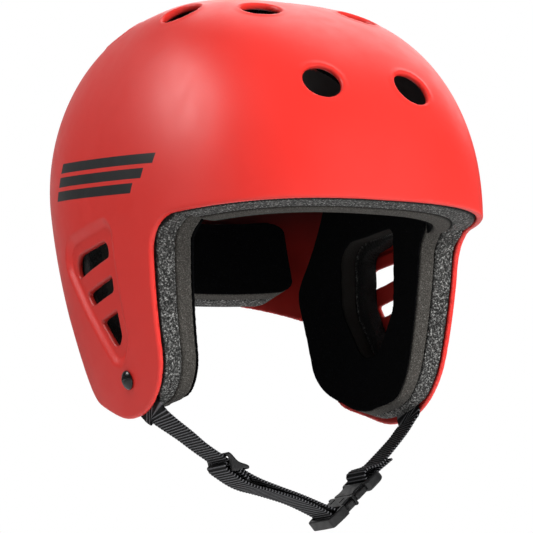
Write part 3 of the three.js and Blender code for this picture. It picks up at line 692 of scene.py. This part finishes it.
def floor_paint():
    """Pale paper that fades into the white air, sooner where the camera sees it."""
    paint = Paint("studio_paper", 0.9).set(Base_Color=(0.84, 0.84, 0.84, 1))
    away = paint.add("ShaderNodeVectorMath", {0: paint.place}, operation="LENGTH").outputs["Value"]
    ray = paint.add("ShaderNodeLightPath").outputs["Is Camera Ray"]
    seen = paint.math("MULTIPLY", paint.rise(away, 0.3, 2.4), ray)
    share = paint.math("MAXIMUM", paint.rise(away, 2.0, 9.0), seen)
    white = paint.add("ShaderNodeEmission").outputs[0]
    fade = paint.add("ShaderNodeMixShader", {0: share, 1: paint.shader.outputs[0], 2: white})
    paint.tree.links.new(fade.outputs[0], paint.tree.nodes["Material Output"].inputs["Surface"])
    return paint.material


def add_floor(sides=96):
    """A wide round floor, well under the helmet."""
    points = [(0, 0, FLOOR_Z)]
    for j in range(sides):
        turn = 2 * math.pi * j / sides
        points.append((FLOOR_RADIUS * math.cos(turn), FLOOR_RADIUS * math.sin(turn), FLOOR_Z))
    faces = [(0, 1 + j, 1 + (j + 1) % sides) for j in range(sides)]
    studio = add_faces("studio_floor", points, faces, floor_paint())


add_floor()
SHELL_RED = shell_paint()
FIRM_FOAM = firm_foam_paint()
SOFT_FOAM = soft_foam_paint()
FLEECE_BLACK = fleece_paint()
WEBBING = webbing_paint()
PLASTIC_BLACK = plastic_paint()
RIVET_BLACK = rivet_paint()
WASHER_STEEL = washer_paint()


def keep(piece, body, slot, *nodes):
    """Rides a finished piece on its body in place of its nodes."""
    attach(piece, body)
    if nodes:
        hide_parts(*nodes)
    return piece


# ---- shell ----
def vent_holes():
    """(point, normal) of each vent on the wearer's left; the right is its mirror."""
    front = spot_on(FRONT_VENT[0], -1, FRONT_VENT[1], 1, -1)
    rear = spot_on(REAR_VENT[0], 1, REAR_VENT[1], 1)
    return [front, rear] + [spot_on(x, y, 1, 2) for x, y in TOP_VENTS]


class ShellField:
    """The shell: a 4 mm skin with rolled edges, lipped round vents and a dished ear vent."""

    EDGE_ROLL = 1.5
    SLOT_ROLL = 1.2
    DISH_RUN = 6.5
    FLANGE = 2.5
    LIP = 0.5

    def __init__(self):
        self.edge = Outline(SHELL_CORNERS)
        self.recess = Outline(RECESS_CORNERS)
        self.slots = Outline(SLOT_CORNERS)
        self.vents = vent_holes()

    def ear_slots(self, y, z, depth):
        """The three slots, a little narrower inside."""
        draft = 0.18 * np.clip(depth - RECESS_DEPTH, 0, 5)
        field = self.slots(y, z) + draft
        for height in BAR_HEIGHTS:
            off = (z - height - SLOT_SLOPE * y) / math.hypot(1, SLOT_SLOPE)
            field = both(field, BAR_WIDTH / 2 + draft - np.abs(off), 2.0)
        return field

    def holes(self, x, y, z):
        """Distance to the nearest round vent, negative inside it."""
        hole = None
        for point, normal in self.vents:
            away = [np.abs(x) - point[0], y - point[1], z - point[2]]
            along = sum(a * n for a, n in zip(away, normal))
            off = np.sqrt(np.maximum(sum(a * a for a in away) - along ** 2, 0)) - VENT_RADIUS
            off = np.maximum(off, np.abs(along) - 24)
            hole = off if hole is None else np.minimum(hole, off)
        return hole

    def __call__(self, x, y, z, depth):
        within = -self.recess(y, z)
        dish = RECESS_DEPTH * ease((within + 2.0) / self.DISH_RUN)
        flange = self.FLANGE * ease((within - 1) / 4)
        hole = self.holes(x, y, z)
        lip = self.LIP * ease((5.0 - hole) / 4.0)
        skin = np.maximum(dish - lip - depth, depth - SHELL_THICK - flange)
        field = both(skin, self.edge(y, z), self.EDGE_ROLL)
        field = both(field, -hole, VENT_ROLL)
        return both(field, -self.ear_slots(y, z, depth), self.SLOT_ROLL)


def build_shell():
    block = Block(114, -139, 140, -138, 122, SHELL_VOXEL)
    points, quads, normals = block.surface(ShellField())
    piece = add_mesh("helmet_shell", points, quads, SHELL_RED, normals)
    # the inner face, which the shell's paint darkens as painted shade
    mark(piece, "inner", ease((depth_of(*points.T) - 2.8) / 0.9))
    keep(piece, "shell", "shell_red", "outer_shell")


build_shell()


# ---- pads ----
LAYERS = (
    ("firm_foam", FIRM, 1.0, FIRM_FOAM),
    ("soft_foam", SOFT, 1.2, SOFT_FOAM),
    ("fleece", FLEECE, 0.6, FLEECE_BLACK),
)
SLANT = 4.0 / (FLEECE[0] - LEAN_FROM)  # how fast the pads' edges lean in with depth
EAR_EDGE = Outline(EAR_PAD_CORNERS)
EAR_HOLE = Outline(EAR_HOLE_CORNERS)
BROW_EDGE = Outline(BROW_PAD_CORNERS)
NAPE_EDGE = Outline(NAPE_PAD_CORNERS)


def ear_outer(y):
    """Depth of an ear pad's outer face: on the shell in front, clear of the strap behind."""
    return FIRM_BEHIND - (FIRM_BEHIND - FIRM[0]) * ease((-18 - y) / 8)


def ear_hole(y, z, firm):
    """Distance to a layer's ear hole, which is smaller in the firm foam, most so at the back."""
    return EAR_HOLE(y, z) + firm * (EAR_HOLE_STEP + 4 * ease((y - 5) / 25))


def ear_field(side, layer, reach, roll):
    rivet = spot_on(100, *RIVET_SPOT, 0)[0]
    firm = layer == "firm_foam"

    def field(x, y, z, depth):
        lean = SLANT * (depth - LEAN_FROM) * (1 - 0.9 * ease((-8 - y) / 20) * ease((y + 60) / 12))
        layers = slab(depth, ear_outer(y) if firm else reach[0], reach[1])
        pad = both(layers, EAR_EDGE(y, z) + lean, roll)
        pad = both(pad, -ear_hole(y, z, firm), roll)
        if firm:
            away = np.sqrt((x * side - rivet[0]) ** 2 + (y - rivet[1]) ** 2 + (z - rivet[2]) ** 2)
            pad = both(pad, RIVET_ROOM - away, 0.5)
        return pad
    return field


def brow_field(reach, roll):
    def field(x, y, z, depth):
        drop = 3.0 * ease((depth - LEAN_FROM) / 20)
        return both(slab(depth, *reach), BROW_EDGE(y, z + drop * (z < 0)), roll)
    return field


def nape_field(reach, roll):
    def field(x, y, z, depth):
        lean = SLANT * (depth - LEAN_FROM)
        return both(slab(depth, *reach), NAPE_EDGE(x, z) + lean, roll)
    return field


def build_pad(name, layer, reach, material, field, bearings, heights):
    thin = 0.35 if layer == "fleece" else 0.8
    points, quads = wrapped_surface(field, bearings, heights, reach, PAD_STEP, thin)
    piece = add_mesh(f"{name}_{layer}_piece", points, quads, material)
    mark_skin_and_shade(piece, points, ear_outer(points[:, 1]) if "ear" in name else reach[0])
    keep(piece, "shell", layer, f"{name}_{layer}")


def mark_skin_and_shade(piece, points, outer):
    """Marks a pad's outer face, where the foam has a moulded skin, and an ear hole's wall and the firm
    foam's rim inside the hole, which are painted dark as painted shade.
    """
    x, y, z = points.T
    skin = ease((outer + 0.9 - depth_of(x, y, z)) / 0.5)
    # painted shade on the ear hole's wall and on the firm foam's rim within the hole
    if "ear" in piece.name:
        wall = np.abs(ear_hole(y, z, "firm" in piece.name))
        skin = np.maximum(skin, ease((2.2 - wall) / 0.8))
        skin = np.maximum(skin, ease((0.4 - EAR_HOLE(y, z)) / 0.5))
    mark(piece, "skin", skin)


def build_pads():
    quarter = math.pi / 2
    for layer, reach, roll, material in LAYERS:
        for side, word in SIDES:
            middle = 0 if side > 0 else math.pi
            build_pad(f"ear_pad_{word}", layer, reach, material, ear_field(side, layer, reach, roll),
                      (middle - 0.95, middle + 0.95), (-134, 19))
        build_pad("brow_pad", layer, reach, material, brow_field(reach, roll),
                  (-1.5 * quarter - 0.2, -quarter / 2 + 0.2), (-36, 22))
        build_pad("nape_pad", layer, reach, material, nape_field(reach, roll),
                  (quarter - 0.9, quarter + 0.9), (-52, 13))


def build_crown_pads():
    block = Block(82, -86, 104, 55, 118, CROWN_VOXEL)
    for word, corners in CROWN_PADS.items():
        edge, facing = Outline(corners), Outline(inset(corners, 1.5))
        for layer, reach, outline, material in (("firm_foam", CROWN_FIRM, edge, FIRM_FOAM),
                                                ("fleece", CROWN_FLEECE, facing, FLEECE_BLACK)):
            def field(x, y, z, depth, reach=reach, outline=outline):
                return both(slab(depth, *reach), outline(x, y), 0.9)
            points, quads, _ = block.surface(field, finish=False)
            name = f"crown_pad_{word}_{layer}"
            piece = add_mesh(name + "_piece", points, quads, material)
            mark_skin_and_shade(piece, points, reach[0])
            keep(piece, "shell", layer, name)


build_pads()
build_crown_pads()


# ---- rivets ----
# Radius, and height along the outward normal.
RIVET_PROFILE = (
    (0, -8.6), (3.6, -8.6), (3.8, -8.4), (3.8, -7.8), (3.6, -7.6), (2.4, -7.6), (2.4, 0.42),
    (5.35, 0.42), (5.6, 0.62), (5.6, 0.95), (5.4, 1.25), (4.9, 1.75), (4.1, 2.3), (3.1, 2.75),
    (2.0, 3.05), (1.0, 3.17), (0, 3.2),
)


def turned(profile, point, normal, sides=64):
    """A solid of revolution about a normal through a point."""
    first = np.cross(normal, (0, 0, 1.0))
    first /= np.linalg.norm(first)
    second = np.cross(normal, first)
    points = [point + normal * profile[0][1]]
    for radius, height in profile[1:-1]:
        for j in range(sides):
            turn = 2 * math.pi * j / sides
            ring = first * math.cos(turn) + second * math.sin(turn)
            points.append(point + normal * height + ring * radius)
    points.append(point + normal * profile[-1][1])
    last = len(points) - 1
    top = last - sides
    faces = []
    for j in range(sides):
        on = (j + 1) % sides
        faces.append((1 + on, 1 + j, 0))
        for low in range(1, top, sides):
            faces.append((low + on, low + sides + on, low + sides + j, low + j))
        faces.append((top + on, last, top + j))
    return points, faces


def build_rivets():
    for side, word in SIDES:
        point, normal = spot_on(100, *RIVET_SPOT, 0)
        flip = np.array((side, 1, 1))
        points, faces = turned(RIVET_PROFILE, point * flip, normal * flip)
        piece = add_faces(f"rivet_{word}_piece", points, faces, RIVET_BLACK)
        keep(piece, "shell", "rivet_plastic", f"rivet_{word}")
        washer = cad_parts[f"rivet_washer_{word}"]
        washer.data.materials.clear()
        washer.data.materials.append(WASHER_STEEL)


build_rivets()


# ---- buckle and tri-glide axes ----
STRAP_Y = -13.0
GLIDE_CENTRE = (-42.4, -161.1)
GLIDE_SLOPE = math.radians(-31)
BUCKLE_ORIGIN = (20.0, -195.7)
BUCKLE_TILT = math.radians(40)
WEB_WIDTH = 20.0
WEB_THICK = 1.4
GAP = 0.3


class Axes:
    """A part's own axes: u along the strap, v across it (toward the back), w up."""

    def __init__(self, centre, slope):
        self.origin = np.array((centre[0], STRAP_Y, centre[1]))
        self.u = np.array((math.cos(slope), 0, math.sin(slope)))
        self.w = np.array((-math.sin(slope), 0, math.cos(slope)))

    def at(self, u, w, v=0.0):
        return self.origin + self.u * u + np.array((0, v, 0)) + self.w * w

    def out(self, points):
        return self.origin + points[:, :1] * self.u + points[:, 1:2] * (0, 1, 0) + points[:, 2:] * self.w

    def turn(self, normals):
        return self.out(normals) - self.origin


GLIDE = Axes(GLIDE_CENTRE, GLIDE_SLOPE)
BUCKLE = Axes(BUCKLE_ORIGIN, BUCKLE_TILT)


def brick(u, v, w, low, high, roll=0.0):
    """A box with rolled edges."""
    sides = [np.abs(p - (a + b) / 2) - (b - a) / 2 + roll for p, a, b in zip((u, v, w), low, high)]
    out = np.sqrt(sum(np.maximum(s, 0) ** 2 for s in sides))
    inner = np.maximum(np.maximum(sides[0], sides[1]), sides[2])
    return out + np.minimum(inner, 0) - roll


def cross_bar(u, v, w, at_u, at_w, radius, half_span):
    return both(np.hypot(u - at_u, w - at_w) - radius, np.abs(v) - half_span)


def plate(u, v, w, outline, low, high, roll):
    """An outline in u, v between two levels, with rolled edges."""
    return both(outline(u, v), slab(w, low, high), roll)


# ---- tri-glide ----
GLIDE_HALF_LENGTH = 8.4
GLIDE_BAR = 0.95
FOLD_RADIUS = 0.9 + GAP + WEB_THICK / 2
CENTRE_BAR_H = -(WEB_THICK + GAP + FOLD_RADIUS)
OUTER_BAR_H = WEB_THICK / 2 + GAP + 0.9


def glide_field(u, v, w):
    bow = CENTRE_BAR_H + (OUTER_BAR_H - CENTRE_BAR_H) * ease(np.abs(u) / 7)
    cheek = np.maximum(bow - 1.1 - w, w - OUTER_BAR_H - 0.9 + 1.4 * ease(1 - np.abs(u) / 7))
    rail = both(cheek * 0.8, np.abs(np.abs(v) - 12.05) - 1.45, 0.7)
    rail = both(rail, np.abs(u) - GLIDE_HALF_LENGTH, 1.6)
    ends = both(np.hypot((np.abs(u) - 7.1) / 1.1, w - OUTER_BAR_H) - 1.1, np.abs(v) - 12.4)
    middle = cross_bar(u, v, w, 0, CENTRE_BAR_H, GLIDE_BAR, 12)
    return soft_join(rail, np.minimum(ends, middle), 0.6)


def build_tri_glide():
    points, quads, normals = carved(glide_field, (-9, -14, -6), (9, 14, 5), GLIDE_VOXEL)
    piece = add_mesh("tri_glide_piece", GLIDE.out(points), quads, PLASTIC_BLACK, GLIDE.turn(normals))
    keep(piece, "tri_glide_body", "buckle_plastic", "tri_glide")


# ---- side-release buckle ----
HALF_THICK = 3.2
SOCKET_LENGTH = 23.0
PRONG_ROOT_U = 33.0
PLUG_END_U = 48.0
WINDOW_U = (13.4, 20.8)
WEB_BAR_U, WEB_BAR_RADIUS = 8.4, 1.3
LADDER_BAR_U, LADDER_BAR_RADIUS = 40.3, 1.5
SOCKET_OUTLINE = Outline([(0, -11.6, 2.2), (0, 11.6, 2.2), (9, 13, 5), (SOCKET_LENGTH, 13, 1.4),
                          (SOCKET_LENGTH, -13, 1.4), (9, -13, 5)])
LADDER_OUTLINE = Outline([(PRONG_ROOT_U, -13.5, 2.5), (PLUG_END_U, -13.5, 6.5),
                          (PLUG_END_U, 13.5, 6.5), (PRONG_ROOT_U, 13.5, 2.5)])
DECK_OUTLINE = Outline([(23.4, -10.4, 1.0), (27.5, -8.0, 5), (34, -9.5, 1), (36, -9.5, 0.5),
                        (36, 9.5, 0.5), (34, 9.5, 1), (27.5, 8.0, 5), (23.4, 10.4, 1.0)])


def socket_field(u, v, w):
    crown = 0.35 * ease(1 - np.abs(v) / 14)
    body = plate(u, v, w - crown * np.sign(w) * 0.5, SOCKET_OUTLINE, -HALF_THICK, HALF_THICK, 0.8)
    body = both(body, -brick(u, v, w, (2.4, -10.6, -9), (12.4, 10.6, 9), 0.6), 0.5)
    body = np.minimum(body, cross_bar(u, v, w, WEB_BAR_U, 0, WEB_BAR_RADIUS, 11.2))
    side = brick(u, np.abs(v), w, (WINDOW_U[0], 10, -9), (WINDOW_U[1], 20, 9), 0.3)
    body = both(body, -side, 0.35)
    pocket = brick(u, v, w, (WINDOW_U[0], -11.2, -2), (SOCKET_LENGTH + 5, 11.2, 2), 0.2)
    body = both(body, -pocket, 0.3)
    slit = brick(u, np.abs(v), w, (16.5, 4.2, 2.4), (20.5, 5.4, 9), 0.3)
    return both(body, -slit, 0.2)


def plug_field(u, v, w):
    body = plate(u, v, w, LADDER_OUTLINE, -HALF_THICK, HALF_THICK, 1.5)
    body = soft_join(body, brick(u, v, w, (15, -3, -1.6), (PRONG_ROOT_U + 1, 3, 1.6), 0.4), 0.6)
    body = both(body, -brick(u, v, w, (35.2, -10.8, -9), (45.6, 10.8, 9), 0.7), 0.5)
    body = np.minimum(body, cross_bar(u, v, w, LADDER_BAR_U, 0, LADDER_BAR_RADIUS, 11.3))
    body = both(body, -brick(u, v, w, (44.6, -10.8, 0.2), (PLUG_END_U + 9, 10.8, 9), 0.3), 0.4)
    deck = plate(u, v, w, DECK_OUTLINE, 2.0, HALF_THICK, 0.4)
    return soft_join(body, both(deck, u - 34.5), 0.5)


def prong_outline(side):
    tip, shoulder = WINDOW_U[0] + 0.5, WINDOW_U[1] - 0.4
    corners = [(PRONG_ROOT_U - GAP, 8, 0.3), (PRONG_ROOT_U - GAP, 12.2, 0.6),
               (SOCKET_LENGTH + 1, 12.2, 1), (SOCKET_LENGTH + 0.6, 10.8, 0.3),
               (shoulder, 10.8, 0.3), (shoulder, 13.8, 1.4),
               (tip + 2, 13.2, 1.5), (tip, 10.8, 0.8), (tip, 8.4, 0.8)]
    return Outline([(u, side * v, r) for u, v, r in corners])


def add_hardware(name, field, low, high, body, *nodes):
    points, quads, normals = carved(field, low, high, BUCKLE_VOXEL)
    piece = add_mesh(name, BUCKLE.out(points), quads, PLASTIC_BLACK, BUCKLE.turn(normals))
    keep(piece, body, "buckle_plastic", *nodes)


def build_buckle():
    add_hardware("buckle_socket_piece", socket_field, (0, -13, -3.4), (SOCKET_LENGTH, 13, 3.4),
                 "buckle_socket_body", "buckle_socket")
    add_hardware("buckle_plug_piece", plug_field, (15, -13.5, -3.3), (PLUG_END_U, 13.5, 3.3),
                 "chin_strap", "buckle_plug")
    for side, word in ((-1, "front"), (1, "rear")):
        outline = prong_outline(side)
        ends = sorted((side * 8, side * 13.8))

        def field(u, v, w, outline=outline):
            return plate(u, v, w, outline, -1.7, 1.7, 0.5)
        add_hardware(f"buckle_prong_{word}_piece", field, (13.9, ends[0], -1.7), (33, ends[1], 1.7),
                     f"prong_{word}", f"buckle_prong_{word}")


build_tri_glide()
build_buckle()


# ---- webbing ----
RIB_PITCH = 2.05
RIB_HEIGHT = 0.34
WEB_COLUMNS = 22


def smooth_line(points, step=0.25):
    """A Catmull-Rom line through points of any dimension, evenly resampled by its 3-D length."""
    p = np.array(points, float)
    p = np.vstack([2 * p[0] - p[1], p, 2 * p[-1] - p[-2]])
    fine = []
    for i in range(1, len(p) - 2):
        t = np.linspace(0, 1, 40, endpoint=False)[:, None]
        a, b, c, d = p[i - 1:i + 3]
        fine.append(0.5 * (2 * b + (c - a) * t + (2 * a - 5 * b + 4 * c - d) * t ** 2
                           + (3 * b - a - 3 * c + d) * t ** 3))
    fine.append(p[-2][None])
    return evenly(np.vstack(fine), step)


def evenly(line, step=0.25):
    """A line resampled so that its points are a step apart in 3-D."""
    run = np.concatenate([[0], np.cumsum(np.linalg.norm(np.diff(line[:, :3], axis=0), axis=1))])
    count = max(4, int(round(run[-1] / step)))
    at = np.linspace(0, run[-1], count + 1)
    return np.array([np.interp(at, run, line[:, k]) for k in range(line.shape[1])]).T


def arc_round(axes, u, w, radius, start, sweep, count=24):
    """Centre-line points round a bar, with the width across the strap."""
    line = []
    for i in range(count + 1):
        turn = start + sweep * i / count
        spot = axes.at(u + radius * math.cos(turn), w + radius * math.sin(turn))
        line.append((*spot, 0, 1, 0))
    return line


def flat(axes, *places):
    return [(*axes.at(u, w), 0, 1, 0) for u, w in places]


def ribbed_ring():
    """Places round the webbing's section: across, up, and how far ribs lift each of them."""
    half, corner = WEB_WIDTH / 2, 0.42
    top = [(v, corner, 1) for v in np.linspace(-half + 0.5, half - 0.5, WEB_COLUMNS)]
    edge = [(half - 0.12, 0.32, 0.5), (half, 0.0, 0.3), (half - 0.12, -0.32, 0.5)]
    bottom = [(v, -h, lift) for v, h, lift in reversed(top)]
    return np.array(top + edge + bottom + [(-v, -h, lift) for v, h, lift in edge])


def ribbon_mesh(name, line, phase=0.0, ends=(True, True)):
    """A ribbed strap along points that hold a place and the direction of its width."""
    centre, across = line[:, :3], line[:, 3:6]
    along = np.gradient(centre, axis=0)
    along /= np.linalg.norm(along, axis=1, keepdims=True)
    across = across - np.sum(across * along, 1, keepdims=True) * along
    across /= np.linalg.norm(across, axis=1, keepdims=True)
    up = np.cross(along, across)
    run = np.concatenate([[0], np.cumsum(np.linalg.norm(np.diff(centre, axis=0), axis=1))]) + phase
    ring = ribbed_ring()
    rib = np.abs(np.sin(math.pi * run / RIB_PITCH)) ** 0.8
    edge = np.abs(np.sin(2 * math.pi * run / RIB_PITCH))
    v, h, lift = ring.T
    beads = 0.03 * np.cos(2 * math.pi * v / 1.55)
    side = np.where(lift < 1, 1.0, 0.0)
    wide = v[None, :] * (1 - 0.018 * side[None, :] * (1 - edge[:, None]))
    raised = lift[None, :] * (RIB_HEIGHT * rib[:, None] + beads[None, :])
    thick = h[None, :] + np.sign(h)[None, :] * raised
    points = centre[:, None] + across[:, None] * wide[..., None] + up[:, None] * thick[..., None]
    rows, count = points.shape[:2]
    index = np.arange(rows * count).reshape(rows, count)
    a, b = index[:-1], index[1:]
    quads = np.stack([a, np.roll(a, -1, 1), np.roll(b, -1, 1), b], -1).reshape(-1, 4)
    caps = []
    for wanted, row in zip(ends, (index[0], index[-1])):
        if wanted:
            for k in range((count - 2) // 2):
                far = count - 4 - k
                caps.append((row[k], row[k + 1], row[(far - 1) % count], row[far % count]))
    points = points.reshape(-1, 3)
    quads = facing_out(points, quads)
    piece = add_mesh(name, points, np.vstack([quads, np.array(caps)]) if caps else quads, WEBBING)
    # the rib profile, which the webbing's paint turns into a painted highlight on each crest
    mark(piece, "rib", np.repeat(rib[:, None], count, 1).ravel())
    return piece, run[-1]


def anchor_line(side):
    """From over the rivet down inside the flap to its edge, turning upright on the way."""
    line = []
    y, z, last = RIVET_SPOT[0] + 4.05, RIVET_SPOT[1] + 8, -9
    for step, tilt in ((-9, 27), (-3, 27), (3, 26), (9, 22), (13.5, 17), (17, 13)):
        across = math.cos(math.radians(tilt)), -math.sin(math.radians(tilt))
        y, z, last = y + across[1] * (step - last), z - across[0] * (step - last), step
        lean = (half_width_at(y + 4.5 * across[0], z + 4.5 * across[1], 5)
                - half_width_at(y - 4.5 * across[0], z - 4.5 * across[1], 5)) / 9
        line.append((side * half_width_at(y, z, 5.0), y, z, side * lean, *across))
    return line


def split_at(line, x, z):
    return int(np.argmin(np.hypot(line[:, 0] - x, line[:, 2] - z)))


def add_anchor(word, line):
    """The part of a strap under its rivet."""
    piece, run = ribbon_mesh(f"strap_{word}_anchor", line, ends=(True, False))
    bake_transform(piece)
    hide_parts(f"anchor_tab_{word}")
    return run


def build_right_straps():
    way_out = [(-87.7, -11.8, -130.4, -0.08, 0.98, -0.18), (-84.9, STRAP_Y, -133.5, -0.05, 0.98, -0.14),
               (-79.0, STRAP_Y, -137.6, -0.02, 0.99, -0.1), (-69, STRAP_Y, -144.0, 0.05, 0.99, -0.08)]
    route = smooth_line(anchor_line(RIGHT) + way_out + flat(GLIDE, (-22, 0.2), (-15, 0)))
    split = split_at(route, -83.0, -134.9)
    run = add_anchor("right", route[:split + 1])
    upper = route[split:]
    piece, run = ribbon_mesh("strap_right_upper", upper, run, ends=(False, False))
    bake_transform(piece)
    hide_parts("webbing_right_upper")
    build_right_lower(run)


def build_right_lower(run):
    """Through the tri-glide, round the buckle's bar and back to a fold round the centre bar."""
    radius = WEB_BAR_RADIUS + GAP + WEB_THICK / 2
    bar = BUCKLE.at(WEB_BAR_U, 0)
    leave = GLIDE.at(17, 0)
    arrive = bar - leave
    reach = math.hypot(arrive[0], arrive[2])
    heading = math.atan2(arrive[2], arrive[0]) - math.asin(radius / reach)
    start = heading + math.pi / 2 - BUCKLE_TILT
    around = arc_round(BUCKLE, WEB_BAR_U, 0, radius, start, -math.pi * 1.06)
    through = flat(GLIDE, (-15, 0), (0, 0), (10, 0.1), (20, 1.3), (33, 4.2), (49, 8.0))
    run_up = smooth_line(through + around[:1])
    main = evenly(np.vstack([run_up[:-1], np.array(around)]))
    piece, run = ribbon_mesh("strap_right_lower", main, run, ends=(False, False))
    keep(piece, "buckle_socket_body", "webbing", "webbing_right_lower")
    low, high = CENTRE_BAR_H - FOLD_RADIUS, CENTRE_BAR_H + FOLD_RADIUS
    sag = [around[-1]] + flat(GLIDE, (66, 8.0), (50, 5.6), (36, 1.8))
    fold = flat(GLIDE, (26, -1.4), (18, -4.1), (10, low + 0.1), (0, low),
                (-2.6, low + 0.2), (-4.4, low + 0.9), (-5.1, CENTRE_BAR_H), (-4.4, high - 0.6),
                (-2.2, high), (0, high), (6, high - 0.1), (12.5, high - 0.8))
    back = smooth_line(sag + fold)
    piece, _ = ribbon_mesh("strap_right_return", back, run, ends=(False, True))
    start, end = back[0, :3] * MM, GLIDE.at(13, low) * MM
    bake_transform(piece)
    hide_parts("webbing_right_folded_end")


def build_left_straps():
    radius = LADDER_BAR_RADIUS + GAP + WEB_THICK / 2
    bar, end = LADDER_BAR_U, PLUG_END_U
    under = arc_round(BUCKLE, bar, 0, radius, math.pi, math.pi)
    over = flat(BUCKLE, (end + 3, 3.3), (end - 1, 5.0), (bar + 3, 6.6), (bar - 1, 6.4),
                (bar - radius + 0.2, 3.4))
    tail = flat(BUCKLE, (bar + radius + 0.3, 0.9), (end - 2.5, 1.2), (end + 2, 1.1),
                (end + 7, 0.6), (end + 12, 0.2))
    way_out = [(87.4, -11.6, -131.6, 0.08, 0.98, -0.18), (83.2, STRAP_Y, -135.4, 0.03, 0.99, -0.12),
               (76.2, STRAP_Y, -143.4, 0.02, 0.99, -0.08), (61.4, STRAP_Y, -157.2, 0, 1, 0)]
    route = smooth_line(anchor_line(LEFT) + way_out + over + under[:1])
    split = split_at(route, 83.0, -134.9)
    run = add_anchor("left", route[:split + 1])
    last = smooth_line(under[-1:] + tail)
    whole = evenly(np.vstack([route[split:-1], np.array(under), last[1:]]))
    piece, _ = ribbon_mesh("strap_left", whole, run, ends=(False, True))
    keep(piece, "chin_strap", "webbing", "webbing_left_upper", "webbing_left_lower")


build_right_straps()
build_left_straps()
